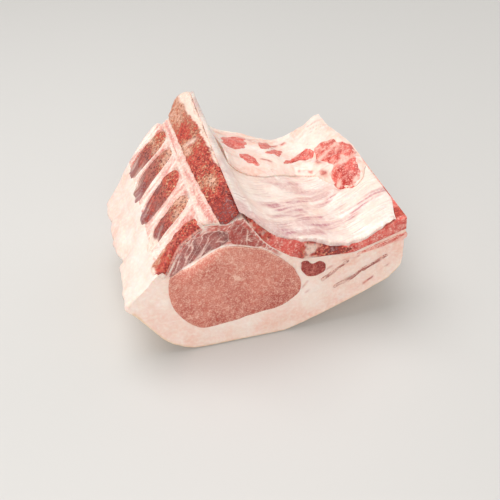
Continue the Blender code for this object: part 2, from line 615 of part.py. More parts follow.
def settle(solids):
    """Bends every solid, sets the rack over the origin, turns millimetres into metres and gives materials."""
    coordinates = {}
    for name, solid in solids.items():
        bm = bmesh.new()
        bm.from_mesh(solid.data)
        bmesh.ops.remove_doubles(bm, verts=bm.verts, dist=MERGE)
        bm.verts.index_update()
        bm.normal_update()
        strays = stray_points(bm)
        bmesh.ops.triangulate(bm, faces=bm.faces)
        bm.to_mesh(solid.data)
        bm.free()
        flat = np.empty(len(solid.data.vertices) * 3)
        solid.data.vertices.foreach_get("co", flat)
        bent = bend(flat.reshape(-1, 3))
        for _ in range(12):
            for point, before, after, share in strays:
                bent[point] = bent[before] + (bent[after] - bent[before]) * share
        coordinates[name] = bent
    every = np.vstack(list(coordinates.values()))
    low, high = every.min(axis=0), every.max(axis=0)
    shift = np.array([(low[0] + high[0]) / 2, (low[1] + high[1]) / 2, low[2]])
    for name, solid in solids.items():
        points = (coordinates[name] - shift) * 0.001
        solid.data.vertices.foreach_set("co", points.ravel())
        solid.data.materials.clear()
        solid.data.materials.append(material(material_of(name)))
        solid.data.shade_smooth()
        solid.data.set_sharp_from_angle(angle=math.radians(40))
        solid.data.update()


for old in list(bpy.data.objects):
    bpy.data.objects.remove(old)
pieces = {}
for make in (make_muscles, make_backbone, make_ligaments, make_canal, make_cage, make_lining, make_rim):
    pieces.update(make())
pieces["fat_and_rind"] = make_fat()
settle(pieces)
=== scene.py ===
# %% [markdown]
# # A rack of pork on its rind
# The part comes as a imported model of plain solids. This lesson dresses each of them: the cut faces get their grain
# and their small waves, the bones their sponge, the fat its folds, and every surface a material of its own.
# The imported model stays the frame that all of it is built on, so nothing here changes a size.

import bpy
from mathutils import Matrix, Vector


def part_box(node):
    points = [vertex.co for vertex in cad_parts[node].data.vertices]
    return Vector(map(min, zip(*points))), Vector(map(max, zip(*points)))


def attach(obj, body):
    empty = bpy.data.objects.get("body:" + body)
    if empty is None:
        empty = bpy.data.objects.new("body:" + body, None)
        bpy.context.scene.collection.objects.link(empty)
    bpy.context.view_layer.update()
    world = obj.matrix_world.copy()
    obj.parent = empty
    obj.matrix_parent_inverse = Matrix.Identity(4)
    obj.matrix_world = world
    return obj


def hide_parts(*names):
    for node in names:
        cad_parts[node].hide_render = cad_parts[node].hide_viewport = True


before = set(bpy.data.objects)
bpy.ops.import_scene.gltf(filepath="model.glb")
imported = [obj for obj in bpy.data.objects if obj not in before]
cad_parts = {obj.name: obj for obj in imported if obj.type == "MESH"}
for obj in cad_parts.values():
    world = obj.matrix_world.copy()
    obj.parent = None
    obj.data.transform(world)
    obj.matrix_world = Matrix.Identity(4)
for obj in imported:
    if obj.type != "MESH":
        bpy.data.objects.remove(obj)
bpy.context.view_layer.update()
print(len(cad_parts), "solids in the frame")

# %% [markdown]
# ## Sizes
# A rack is easiest to think of as a straight block: one outline that runs along the loin. A single function then
# bends the block into the true form. The other way, modelling each piece where it ends up, would need the same
# curves to be matched again for every neighbour. These are the sizes of the block, in millimetres.

# %% Sizes of the rack
import math

import bmesh
import bpy
import numpy as np

LENGTH = 143.0
SAW_SLOPE = math.radians(38.96)
SAW_START = np.array([-21.0, 74.0])
VERTEBRAE, RIBS = 5, 7
RIB_PITCH, FIRST_RIB, RIB_WIDTH, RIB_SWEEP = 24.7, -28.0, 13.0, 36.0
GAP, LINING, FLAP = 0.4, 2.2, 5.5
FRONT_HOLLOW, BACK_TAPER, TONGUE = 17.0, 32.0, 10.0  # how far the cuts leave a flat plane
BONE_DEPTH, BODY_DEPTH, FRONT_DEPTH, DEEP_FROM = 4.8, 12.8, 3.2, 20.0
CANAL_EDGES, CANAL_DEPTH, CANAL_END = (37.3, 46.9), 2.6, 136.0
SKIN_NOTCHES = [(45.0, 3.0), (88.0, 2.2)]
SKIN_CORNER = -43.4

low_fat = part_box("fat_and_rind")[0]
SHIFT = np.array([SKIN_CORNER - 1000 * low_fat.x, -1000 * low_fat.y, 0.0])
print("the block's own zero lies at", SHIFT, "mm from the part's")

# %% [markdown]
# ## From the straight block to the rack
# The face that was sawn along the backbone is a slope, so its points are easiest to give as a distance from the
# tips of the feather bones and a depth below the face. `bend` is one formula for the whole rack: it hollows the
# front cut, brings the back cut nearer at the back fat, lowers the ribs and steepens the backbone at the back.

# %% Bend the block
def smooth(value):
    """A step from 0 to 1 with soft ends: 3 t^2 - 2 t^3."""
    t = np.clip(value, 0.0, 1.0)
    return t * t * (3.0 - 2.0 * t)


def past(value, start, width):
    """0 before the start and 1 once it lies a width behind; a width below zero counts the other way."""
    return smooth((value - start) / width)


def hump(value, width):
    """1 at zero and less on both sides of it: exp(-(value / width)^2)."""
    return np.exp(-((value / width) ** 2))


def worn(value):
    """A worn edge, from 0 inside to 1 at the rim, by a quarter circle: 1 - sqrt(1 - t^2)."""
    return 1 - np.sqrt(1 - np.clip(value, 0, 1) ** 2)


def sheet(along, depth):
    """x and z of a point of the sawn face: along the slope from the tips, and down from it."""
    x = SAW_START[0] + along * math.cos(SAW_SLOPE) + depth * math.sin(SAW_SLOPE)
    z = SAW_START[1] + along * math.sin(SAW_SLOPE) - depth * math.cos(SAW_SLOPE)
    return x, z


def sheet_place(x, z):
    """The other way round: distance along the sawn face, and depth below it."""
    dx, dz = x - SAW_START[0], z - SAW_START[1]
    return (dx * math.cos(SAW_SLOPE) + dz * math.sin(SAW_SLOPE),
            dx * math.sin(SAW_SLOPE) - dz * math.cos(SAW_SLOPE))


def front_cut(x, z):
    """y of the front cut: hollow over the middle of the sawn face, less below it."""
    along, depth = sheet_place(x, z)
    return FRONT_HOLLOW * smooth((along + 2) / 22) * past(along, 54, -22) * (1 - smooth(depth / 20))


def back_cut(x, z):
    """y of the back cut: nearer at the back fat, and a tongue at the top of the backbone."""
    tongue = TONGUE * (past(z, 103.6, 5.5) - past(z, 107.5, 7))
    return LENGTH - BACK_TAPER * past(x, 2, -48) + tongue


def block_y(x, z, y):
    """The place along the block that bend() brings to the true place y."""
    front = front_cut(x, z)
    return (y - front) / (back_cut(x, z) - front) * LENGTH


def bend(x, y, z):
    """Block to rack: y is shared out between the two cuts, and x and z move by smooth steps that grow along y."""
    x, y, z = np.broadcast_arrays(np.asarray(x, float), np.asarray(y, float), np.asarray(z, float))
    part = y / LENGTH
    along, depth = sheet_place(x, z)
    slide = (3.5 - 9.0 * part * (2 - part)) * hump(along - CANAL_EDGES[1], 9)
    slide = slide * np.clip(1 - depth / BODY_DEPTH, 0, 1)
    front = front_cut(x, z)
    true_y = front + (back_cut(x, z) - front) * part
    upper = past(z, 20, 45) * part
    squeeze = 6.5 * hump(x - 50, 13) * upper
    trough = 14.0 * past(x, 33, 14) * (1 - 0.4 * past(x, 118, 26)) * upper
    rise = 3.0 * past(z, 103, 9) * np.clip(2 * part - 1, 0, 1.2)
    fold = sum(notch * hump(true_y - place, 6) for place, notch in SKIN_NOTCHES)
    inset = 7.5 * past(x, 96, 44) * past(true_y, 85, 52) * past(z, 30, 40)
    new_x = x - squeeze - inset + fold * past(x, -26, -14) + slide * math.cos(SAW_SLOPE)
    return np.stack([new_x, true_y, z - trough + rise + slide * math.sin(SAW_SLOPE)], axis=-1)


print("the tip of the tongue lies at", bend(24.0, LENGTH, 109.0).round(1))

# %% [markdown]
# ## Uneven like meat
# Nothing on a rack is even. Value noise gives every corner of a grid of cells a random height and blends between
# them; two or three sizes of cell together look like flesh. A fixed seed makes every run the same. Streaks are the
# same noise on stretched coordinates, and a hump round zero of the noise gives the thin lines of a net.

# %% Noise and lines
HEIGHTS = np.random.default_rng(11).uniform(-1, 1, 4096)  # a power of two, as the mask below needs
PRIMES = (73856093, 19349663, 83492791)


def lumps(points, size, seed=0):
    """Value noise from -1 to 1: random heights on cells of that size, blended with the soft step."""
    place = np.asarray(points, float) / size + 31.7 * seed
    cell = np.floor(place).astype(np.int64)
    share = smooth(place - cell)
    total = 0.0
    for corner in np.ndindex(2, 2, 2):
        key = np.zeros(cell.shape[:-1], np.int64)
        weight = 1.0
        for axis in range(3):
            key ^= (cell[..., axis] + corner[axis]) * PRIMES[axis]
            weight = weight * (share[..., axis] if corner[axis] else 1 - share[..., axis])
        total = total + HEIGHTS[key & (len(HEIGHTS) - 1)] * weight
    return total


def stretched(first, second, long_mm, short_mm, seed=0):
    """Noise in streaks that run along the first coordinate."""
    first, second = np.broadcast_arrays(first, second)
    return lumps(np.stack([first / long_mm, second / short_mm, np.zeros_like(first)], axis=-1), 1.0, seed)


def near_line(x, y, line, width):
    """1 on a line of points and less away from it: exp(-(distance / width)^2)."""
    x, y = np.broadcast_arrays(x, y)
    best = np.full(x.shape, 1e9)
    line = np.asarray(line, float)
    for start, end in zip(line, line[1:]):
        step = end - start
        t = np.clip(((x - start[0]) * step[0] + (y - start[1]) * step[1]) / (step @ step), 0, 1)
        best = np.minimum(best, np.hypot(x - start[0] - t * step[0], y - start[1] - t * step[1]))
    return hump(best, width)


def near_lines(x, y, lines):
    """1 on any of a few lines, each with its own width."""
    return np.clip(sum(near_line(x, y, line, width) for line, width in lines), 0, 1)


def grain(x, z, size, seed=0):
    """Noise on a flat cut face, from two coordinates."""
    return stretched(x, z, size, size, seed)


print("noise spreads from", HEIGHTS.min().round(2), "to", HEIGHTS.max().round(2))

# %% [markdown]
# ## Outlines
# A muscle's outline is a smooth closed curve through a few points. A Catmull-Rom spline passes through every one
# of them, which a Bezier curve would need handles for. Open lines are only walked at even steps.

# %% Walk outlines at even steps
def evenly(line, count):
    """An open line of points walked at count even steps."""
    line = np.asarray(line, float)
    walked = np.concatenate([[0], np.cumsum(np.linalg.norm(np.diff(line, axis=0), axis=1))])
    wanted = np.linspace(0, walked[-1], count)
    return np.stack([np.interp(wanted, walked, line[:, k]) for k in (0, 1)], axis=1)


def rounded(points, count):
    """A closed Catmull-Rom curve through the points, as count even steps."""
    knots = np.asarray(points, float)
    before, after, last = np.roll(knots, 1, 0), np.roll(knots, -1, 0), np.roll(knots, -2, 0)
    t = np.linspace(0, 1, 17)[:-1][:, None, None]
    spans = 0.5 * (2 * knots + (after - before) * t + (2 * before - 5 * knots + 4 * after - last) * t**2
                   + (3 * knots - before - 3 * after + last) * t**3)
    fine = spans.transpose(1, 0, 2).reshape(-1, 2)
    return evenly(np.vstack([fine, fine[:1]]), count + 1)[:-1]


def normals(line):
    """Unit normals of an open line in its plane, on its left side."""
    tangent = np.gradient(line, axis=0)
    tangent /= np.linalg.norm(tangent, axis=1)[:, None]
    return np.stack([-tangent[:, 1], tangent[:, 0]], axis=1)


def softened(loop, times):
    """A closed loop with its corners worn: each point moves to the middle of its neighbours, again and again."""
    for _ in range(times):
        loop = (np.roll(loop, 1, 0) + 2 * loop + np.roll(loop, -1, 0)) / 4
    return loop


def outward(loop):
    """Unit normals of a closed loop in its plane, pointing out."""
    tangent = np.roll(loop, -1, 0) - np.roll(loop, 1, 0)
    tangent /= np.linalg.norm(tangent, axis=1)[:, None]
    area = np.sum(loop[:, 0] * np.roll(loop[:, 1], -1) - np.roll(loop[:, 0], -1) * loop[:, 1])
    return np.stack([tangent[:, 1], -tangent[:, 0]], axis=1) * math.copysign(1.0, area)


# %% [markdown]
# ## From grids to a mesh
# Every surface here is a grid of points. `build` joins the grids of one piece, merges the points that they share
# at their seams, turns the faces outwards, which a volume above zero proves, and hides the solids of the frame that
# the piece stands for. Values painted on the points, such as how pale a place is, go along as attributes that the
# materials read.

# %% Build a piece from grids
SEAM = 2e-6  # points nearer than this, in metres, become one
SHARP_FROM = math.radians(48)  # edges that turn by more than this stay sharp


def wrapped(grid):
    """A closed loop of columns: the first column again at the end."""
    return np.concatenate([grid, grid[:, :1]], axis=1)


def strip(first, second, steps=2):
    """A grid of straight steps between two lines of points."""
    share = np.linspace(0, 1, steps)[:, None, None]
    return first[None] + (second - first)[None] * share


def shell(top, base):
    """The grids of a closed slab between a top and a base grid of the same shape."""
    return [top, base, strip(top[0], base[0]), strip(top[-1], base[-1]),
            strip(top[:, 0], base[:, 0]), strip(top[:, -1], base[:, -1])]


def build(name, grids, material, nodes, paint):
    """Grids of rack points, in millimetres, become one closed mesh. paint holds one list of grids for each name."""
    points, faces, start = [], [], 0
    for grid in grids:
        rows, columns = grid.shape[:2]
        index = start + np.arange(rows * columns).reshape(rows, columns)
        faces.append(np.stack([index[:-1, :-1], index[1:, :-1], index[1:, 1:], index[:-1, 1:]], -1).reshape(-1, 4))
        points.append(grid.reshape(-1, 3))
        start += rows * columns
    mesh = bpy.data.meshes.new(name)
    mesh.from_pydata((np.concatenate(points) - SHIFT) / 1000, [], np.concatenate(faces))
    for key, values in paint.items():
        filled = [np.broadcast_to(value, grid.shape[:2]).ravel() for value, grid in zip(values, grids)]
        filled += [np.zeros(grid.shape[0] * grid.shape[1]) for grid in grids[len(values):]]
        layer = mesh.attributes.new(key, "FLOAT", "POINT")
        layer.data.foreach_set("value", np.concatenate(filled).astype(np.float32))
    bm = bmesh.new()
    bm.from_mesh(mesh)
    bmesh.ops.remove_doubles(bm, verts=bm.verts, dist=SEAM)
    bmesh.ops.recalc_face_normals(bm, faces=bm.faces)
    if bm.calc_volume(signed=True) < 0:
        bmesh.ops.reverse_faces(bm, faces=bm.faces)
    bm.to_mesh(mesh)
    bm.free()
    mesh.shade_smooth()
    mesh.set_sharp_from_angle(angle=SHARP_FROM)
    mesh.materials.append(material)
    piece = bpy.data.objects.new(name, mesh)
    bpy.context.collection.objects.link(piece)
    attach(piece, "root")
    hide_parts(*nodes)


# %% [markdown]
# ## Materials: the tools
# A material is a small graph of nodes. One helper adds a node, sets what it is told and fills its inputs with
# numbers or with links. Colours are read as sRGB hex, as a colour picker gives them, and turned to linear light.
# Pattern sizes are given in millimetres, because noise of scale 1 has cells of one metre here.

# %% Node and colour helpers
MOIST_IOR = 1.4


def linear(code):
    """An sRGB hex colour as linear red, green, blue and alpha."""
    parts = [int(code[k:k + 2], 16) / 255 for k in (1, 3, 5)]
    return (*[v / 12.92 if v <= 0.04045 else ((v + 0.055) / 1.055) ** 2.4 for v in parts], 1.0)


def add(material, kind, inputs=None, **settings):
    """Adds one node. A value in inputs is a number, a colour, or the output of another node."""
    node = material.node_tree.nodes.new(kind)
    for key, value in settings.items():
        setattr(node, key, value)
    for key, value in (inputs or {}).items():
        if isinstance(value, bpy.types.NodeSocket):
            material.node_tree.links.new(value, node.inputs[key])
        else:
            node.inputs[key].default_value = value
    return node


def per_metre(size_mm):
    """The scale of a texture whose cells measure that many millimetres."""
    return 1000.0 / size_mm


def shader_input(material, name):
    """An input of the material's own shader."""
    return material.node_tree.nodes["Principled BSDF"].inputs[name]


def new_material(name, roughness, **shader_values):
    """A material with these values on its shader; an underscore in a key stands for a blank."""
    made = bpy.data.materials.new(name)
    made.use_nodes = True
    for key, value in {"Roughness": roughness, "IOR": MOIST_IOR, **shader_values}.items():
        shader_input(made, key.replace("_", " ")).default_value = value
    return made


def recolour(material, colour):
    """Makes the output of a node the base colour."""
    material.node_tree.links.new(colour, shader_input(material, "Base Color"))


def colour_of(material):
    """The output that the base colour comes from so far."""
    return shader_input(material, "Base Color").links[0].from_socket


def blend(material, share, first, second):
    """The first colour where share is 0, the second where it is 1."""
    return add(material, "ShaderNodeMix", {0: share, 6: first, 7: second}, data_type="RGBA").outputs[2]


def spread(material, value, low, high, top=1.0):
    """Stretches a value so that low becomes 0 and high becomes top, and stops there."""
    return add(material, "ShaderNodeMapRange", {"Value": value, "From Min": low, "From Max": high,
                                                "To Min": 0.0, "To Max": top}).outputs[0]


def own_place(material):
    """The object's own coordinates, in metres."""
    return add(material, "ShaderNodeTexCoord").outputs["Object"]


def noise(material, size_mm, detail=2.0):
    """Soft noise on the object's own coordinates, in cells of that size."""
    return add(material, "ShaderNodeTexNoise", {"Vector": own_place(material), "Scale": per_metre(size_mm),
                                                "Detail": detail}).outputs["Fac"]


def painted(material, name):
    """A value painted on the points of the piece."""
    return add(material, "ShaderNodeAttribute", attribute_name=name).outputs["Fac"]


def reckon(material, operation, *values, clamp=False):
    """A sum, product or the like of numbers and outputs."""
    return add(material, "ShaderNodeMath", dict(enumerate(values)), operation=operation, use_clamp=clamp).outputs[0]


def summed(material, first, second, operation="ADD"):
    """The same, held between 0 and 1."""
    return reckon(material, operation, first, second, clamp=True)


def roughen(material, height, depth_mm):
    """Bumps of that depth where the height is 1."""
    bump = add(material, "ShaderNodeBump", {"Height": height, "Distance": depth_mm / 1000, "Strength": 1.0})
    material.node_tree.links.new(bump.outputs[0], shader_input(material, "Normal"))


# %% [markdown]
# ## Materials: flesh and fat
# Cut flesh is a main colour that drifts to a deeper one, with fine pale flecks where fat runs between the fibres,
# and a moist film that catches soft light. One recipe serves the loin, the darker muscles, the fat and the
# membranes; each is named for what it is and gets its own colours, grain and gloss. Light goes a little way into
# flesh before it comes out again, so a small share of subsurface scattering takes the hardness off. The membrane
# inside the ribs also gets fine threads, on coordinates of its own that follow the sweep of the ribs.

# %% Flesh, fat and membrane
def flesh(name, colours, drift_mm, grain_mm, flecks, roughness, bump_mm, scatter=0.12, coat=0.0):
    """colours are deep, main and pale; flecks gives the noise where pale starts, where it is full, and how full."""
    made = new_material(name, roughness, Subsurface_Weight=scatter, Subsurface_Scale=0.003,
                        Subsurface_Radius=(1.0, 0.4, 0.25), Coat_Weight=coat, Coat_Roughness=0.25)
    deep, main, pale = [linear(code) for code in colours]
    fine, patches = noise(made, grain_mm), noise(made, 3.5 * grain_mm)
    deeper = summed(made, spread(made, noise(made, drift_mm, 3.0), 0.42, 0.68, 0.6), painted(made, "deep"))
    paler = summed(made, spread(made, fine, flecks[0], flecks[1], flecks[2]),
                   spread(made, patches, 0.48, 0.75, 0.5 * flecks[2]))
    paler = summed(made, paler, painted(made, "pale"))
    recolour(made, blend(made, paler, blend(made, deeper, main, deep), pale))
    roughen(made, fine, bump_mm)
    return made


# Back fat and belly fat, cut with a knife: creamy white, waxy, a little pink where blood has run.
fat_white = flesh("back_fat_cut", ("#efc3b2", "#f4e0d4", "#fbf0e7"), 24, 2.6, (0.4, 0.8, 0.5), 0.42, 0.3, 0.25)
# Loin meat, cut across its fibres: muted pink with a fine pale speckle.
loin_pink = flesh("loin_meat_cut", ("#b04c3f", "#ce7866", "#efc0ac"), 16, 0.95, (0.46, 0.7, 0.66), 0.38, 0.4)
# Deep muscle, rich in blood: dark red.
dark_red = flesh("deep_muscle_cut", ("#741c19", "#98322c", "#c87669"), 4, 1.1, (0.48, 0.68, 0.75), 0.34, 0.5)
# Muscle between and on the bones: bright red, moist, broken into coarse crumbs by the saw.
bright_red = flesh("rib_meat_cut", ("#b6312a", "#df6156", "#f6bfb0"), 5, 1.3, (0.5, 0.72, 0.75), 0.34, 0.6)
# Pale muscle under the skin and beside the backbone: brownish pink, with white threads painted on it.
brown_pink = flesh("side_meat_cut", ("#7f4743", "#a65b53", "#e4c2b6"), 6, 1.1, (0.5, 0.78, 0.4), 0.38, 0.4)
# Muscle beside the backbone: redder and a little wetter.
back_red = flesh("back_muscle_cut", ("#8c352e", "#b2524a", "#e6c0b2"), 5, 1.1, (0.52, 0.78, 0.45), 0.36, 0.5)
# The membrane inside the ribs: white and taut, wet, with meat showing through where there is no rib behind.
membrane = flesh("rib_membrane", ("#c4868a", "#f1dacd", "#fcefe5"), 60, 2.4, (0.45, 0.8, 0.5), 0.28, 0.25, 0.2, 0.3)
# Ligament and cartilage: smooth, cream to pink.
gristle = flesh("ligament_cut", ("#d98b80", "#eecabb", "#fcf0e4"), 7, 1.6, (0.42, 0.7, 0.5), 0.34, 0.35, 0.2, 0.15)


def threads_over(material, code):
    """Fine threads along the ribs: noise on a place made of the object's x and the painted distance across them."""
    x = add(material, "ShaderNodeSeparateXYZ", {"Vector": own_place(material)}).outputs[0]
    along = reckon(material, "MULTIPLY", x, per_metre(22))
    across = reckon(material, "MULTIPLY", painted(material, "across"), per_metre(1.5))
    place = add(material, "ShaderNodeCombineXYZ", {"X": along, "Y": across}).outputs[0]
    fine = add(material, "ShaderNodeTexNoise", {"Vector": place, "Scale": 1.0, "Detail": 2.0}).outputs["Fac"]
    share = summed(material, spread(material, fine, 0.56, 0.7, 0.75),
                   spread(material, noise(material, 17), 0.42, 0.6), "MULTIPLY")
    recolour(material, blend(material, share, colour_of(material), linear(code)))


threads_over(membrane, "#c39c98")
print("flesh materials:", len(bpy.data.materials))

# %% [markdown]
# ## Materials: rind and sawn bone
# Rind is pig skin: tan, fine pored, and only a thin line of it shows at the cut. It shares a mesh with the fat, so
# it is mixed in by a painted value instead of a second object. Sawn bone is a sponge full of blood: small holes
# between thin walls. Its tone runs from purple grey at the feather bone tips, over dark and bright red, to tan near
# the spinal canal, so a painted tone picks the colour from a ramp, and a cell pattern makes the holes.

# %% Rind and bone
def skin_over(material, skin, fresh):
    """Puts the skin's colour over a material where the value skin is painted, and meat where lean is."""
    flesh_share = spread(material, noise(material, 2.2, 3.0), 0.42, 0.66)
    flesh_tone = blend(material, flesh_share, linear(fresh[0]), linear(fresh[1]))
    meat = blend(material, painted(material, "lean"), colour_of(material), flesh_tone)
    pores = blend(material, spread(material, noise(material, 4.0, 3.0), 0.4, 0.65), linear(skin), linear("#ecd2b9"))
    recolour(material, blend(material, painted(material, "skin"), meat, pores))


skin_over(fat_white, "#e4c09f", ("#b5534a", "#d98a7e"))


BONE_PLACES = (0.16, 0.34, 0.5, 0.66, 0.82)
BONE_TONES = ("#83332e", "#a63a31", "#c84e40", "#b8644c", "#c98f74")


def sawn_bone(name, hole_mm):
    """Blood-filled spongy bone, sawn through: holes of about that size between thin pale walls."""
    made = new_material(name, 0.4, Subsurface_Weight=0.06, Subsurface_Scale=0.002)
    drift, fine = noise(made, 5.0, 3.0), noise(made, hole_mm, 3.0)
    moved = reckon(made, "MULTIPLY_ADD", drift, 0.7, painted(made, "tone"))
    tone = reckon(made, "MULTIPLY_ADD", fine, 1.1, moved)
    ramp = add(made, "ShaderNodeValToRGB", {"Fac": spread(made, tone, 0.9, 1.9)})
    stops = ramp.color_ramp.elements
    stops[0].color, stops[1].color = linear("#a47473"), linear("#dca893")
    for place, code in zip(BONE_PLACES, BONE_TONES):
        stops.new(place).color = linear(code)
    cells = add(made, "ShaderNodeTexVoronoi", {"Vector": own_place(made), "Scale": per_metre(1.3 * hole_mm)})
    sponge = painted(made, "sponge")
    holes = summed(made, spread(made, cells.outputs["Distance"], 0.44, 0.2, 0.8), sponge, "MULTIPLY")
    walls = summed(made, spread(made, fine, 0.56, 0.7, 0.55), sponge, "MULTIPLY")
    colour = blend(made, walls, ramp.outputs["Color"], linear("#ebc29c"))
    colour = blend(made, painted(made, "dull"), colour, linear("#a0655a"))
    colour = blend(made, holes, colour, linear("#561a14"))
    colour = blend(made, painted(made, "pale"), colour, linear("#f3d8c8"))
    recolour(made, colour)
    roughen(made, summed(made, cells.outputs["Distance"], fine), 0.8)
    return made


bone = sawn_bone("sawn_bone", 1.4)
print("rind and bone are ready")

# %% [markdown]
# ## Fat and rind
# The fat holds everything else. Its section lies between two lines: a lower one over the back fat, down the rind
# and up to the rib ends, and an upper one under the backbone and the ribs. A surface ruled straight across between
# two lines fills the cut, and each line carried along the block gives a side. The muscles' cut faces stand a hair
# proud of the fat, so no holes have to be cut in it. Rind covers the lower side as far as the belly, where a knife
# went through fat and two thin layers of lean.

# %% Lines of the section
BACK_FAT = [(-22.6, 73), (-26, 70), (-31, 64.2), (-38, 57.2)]
RIND = [(-43.4, 51.4), (-43.4, 48.8), (-40, 43.6), (-36, 37), (-30, 26), (-23.5, 15.5), (-17, 8.8), (-9.5, 3.2),
        (-2, 0.5), (4, 0), (33, 0), (62, 0), (72, 3.4), (84, 7.8), (95, 12), (107, 17.4), (119, 23.4), (130, 28.9),
        (137, 33.7), (141.4, 39.2), (144.5, 45), (145, 53), (144.5, 61), (143.8, 68), (143.2, 75.4)]
CAGE_TOP = np.array([(38.6, 105.2), (43.3, 99.6), (49.8, 92.6), (56.4, 87.4), (62, 84.5), (69, 81.6),
                     (76.5, 79.3), (83.5, 76.6), (90, 73), (96, 70.8), (102, 70.2), (108.6, 70.6), (115, 73.2),
                     (123.8, 78.2), (133.5, 83.4), (142.2, 86)])
CAGE_BASE = np.array([(36.4, 102.6), (40.5, 95.5), (45, 88), (50.5, 81.4), (57, 75.8), (64, 70), (72, 66),
                      (81, 65), (88.5, 64.8), (95.5, 64.2), (102, 63.6), (109, 63.8), (116, 66.4),
                      (125.5, 69.8), (135, 73.2), (143.2, 76)])
EYE = [(-14.3, 67.9), (-8.7, 69.8), (1.2, 74.1), (10.3, 80.6), (19.6, 85.9), (26, 87), (37.7, 83.4), (47.4, 78.6),
       (57.5, 69.8), (65.2, 61.6), (69.6, 53.2), (71.6, 46), (71.6, 38.5), (68.2, 32.8), (58.9, 26.9),
       (48.3, 24.6), (28, 21.4), (7.1, 19.3), (-0.3, 22.4), (-7.3, 29.2), (-12.3, 39.2), (-15.2, 49.2),
       (-15.9, 58.8)]
LEAN_STREAKS = [[(112, 28.5), (121, 34.5), (131, 40.5), (141, 48)], [(118, 31), (133, 45), (144, 52)],
                [(90, 52), (98, 57.5), (112, 59)], [(76, 34), (82, 38), (88, 44)], [(73, 38), (77, 44)]]
COLUMNS, ROWS, ACROSS = 250, 96, 60
EDGE_RADIUS, RIND_WIDTH = 1.8, 0.75
BELLY_LAYERS = (48.5, 54.0)  # heights of the thin lean layers on the belly side

under = [(-0.9, 0.0), (-0.5, 5.2), (36.6, 5.2), (37.2, 3.2), (47, 3.2), (60, 5), (63, 8)]
lower_line = evenly(BACK_FAT + RIND, COLUMNS)
upper_line = evenly([BACK_FAT[0]] + [sheet(*place) for place in under] + [tuple(p) for p in CAGE_BASE], COLUMNS)
upper_line[-1] = lower_line[-1]
print("the rind side measures", round(float(np.linalg.norm(np.diff(lower_line, axis=0), axis=1).sum())), "mm")

# %% Fat and rind
def fat_side(line, y, relief):
    """A line carried along the block, with its points moved out by the relief."""
    x, z = [line[None, :, k] + normals(line)[None, :, k] * relief for k in (0, 1)]
    return np.broadcast_arrays(x, y[:, None], z)


def eye_top(x):
    """Height of the loin eye's upper edge."""
    return np.interp(x, *np.transpose(EYE[:12]))


stations = LENGTH * (0.5 - 0.5 * np.cos(math.pi * np.linspace(0, 1, ROWS)))
walk = np.linspace(0, 1, COLUMNS)
lower_place = np.stack(np.broadcast_arrays(lower_line[None, :, 0], stations[:, None], lower_line[None, :, 1]), -1)
ends = smooth(walk / 0.03) * past(walk, 1, -0.02)
on_back = past(lower_line[:, 0], -30, -10) * past(lower_line[:, 1], 22, 20)
flat_below = smooth(lower_line[:, 1] / 6)
from_cut = np.minimum(stations, LENGTH - stations)[:, None]
rounding = EDGE_RADIUS * worn(1 - from_cut / EDGE_RADIUS) * ends * (0.35 + 0.65 * on_back)
folds = (0.55 * lumps(lower_place, 14) + 0.3 * lumps(lower_place, 5, 1)) * (0.25 + 0.75 * flat_below)
folds = folds + on_back * (0.9 - 1.8 * np.abs(lumps(lower_place * (1, 0.8, 0.4), 13, 2)))
lower_grid = fat_side(lower_line, stations, rounding - folds * ends)
upper_grid = fat_side(upper_line, stations, 0.0)
belly_cut = past(lower_line[:, 1], 42, 1.5) * (lower_line[:, 0] > 100)
rind_from = past(walk, 0.125, 0.01) * (1 - belly_cut)
fat_grids = [bend(*lower_grid), bend(*upper_grid)]
skin = [rind_from, 0.0]
layer_height = lower_place[..., 2] + 1.3 * lumps(lower_place, 16, 4)
layers = sum(hump(layer_height - z, 0.8) for z in BELLY_LAYERS)
lean = [0.6 * belly_cut * layers * smooth(0.4 + 1.6 * lumps(lower_place * (1, 0.5, 1), 4, 5)), 0.0]
pink = [0.14 * on_back + 0.2 * belly_cut + 0.25 * smooth(lumps(lower_place, 20, 3)), 0.0]
for row, side in ((0, 1), (-1, -1)):
    share = np.linspace(0, 1, ACROSS)[:, None]
    low = np.stack([lower_grid[0][row], lower_grid[2][row]], -1)
    high = np.stack([upper_grid[0][row], upper_grid[2][row]], -1)
    x, z = [low[None, :, k] + (high - low)[None, :, k] * share for k in (0, 1)]
    seed = 3 + side
    wave = 0.45 + 0.3 * grain(x, z, 9, seed) + 0.15 * grain(x, z, 3, seed + 1)
    inside = smooth(share / 0.05) * past(share, 1, -0.05) * ends
    flat = bend(x, stations[row], z)
    flat[..., 1] += side * wave * inside
    fat_grids.append(flat)
    height = np.linalg.norm(high - low, axis=1)[None]
    rim = height * share
    skin.append(hump(rim, RIND_WIDTH) * rind_from * 0.85)
    streaks = sum(near_line(x, z, line, 0.8) for line in LEAN_STREAKS)
    streaks = streaks * smooth(0.4 + 1.6 * grain(x, z, 3.5, 4))
    above = smooth((z - eye_top(x) - 1.1) / 0.7) * past(x, 60, -8) * smooth((x + 12) / 6)
    webs = hump(grain(x, z, 3.0, 5), 0.09) + hump(grain(x, z, 5.5, 6), 0.05)
    bare = past(x, 21, 4) * past(x, 43, -4)
    fascia = smooth((height * (1 - share) - 0.7 + 1.5 * bare) / 0.5)
    lean.append(np.clip(0.55 * streaks + above * fascia * (1 - 0.85 * np.clip(webs, 0, 1)), 0, 1))
    pink.append(0.4 * past(x, 68, 34) + 0.25 * past(z, 24, -14)
                + 0.3 * smooth(0.2 + grain(x, z, 12, 6)) + 0.3 * hump(rim, 9) * smooth(grain(x, z, 7, 9)))
build("fat_and_rind_cut", fat_grids, fat_white, ["fat_and_rind"],
      {"skin": skin, "lean": lean, "deep": pink})
print("fat and rind:", sum(g.shape[0] * g.shape[1] for g in fat_grids), "points")

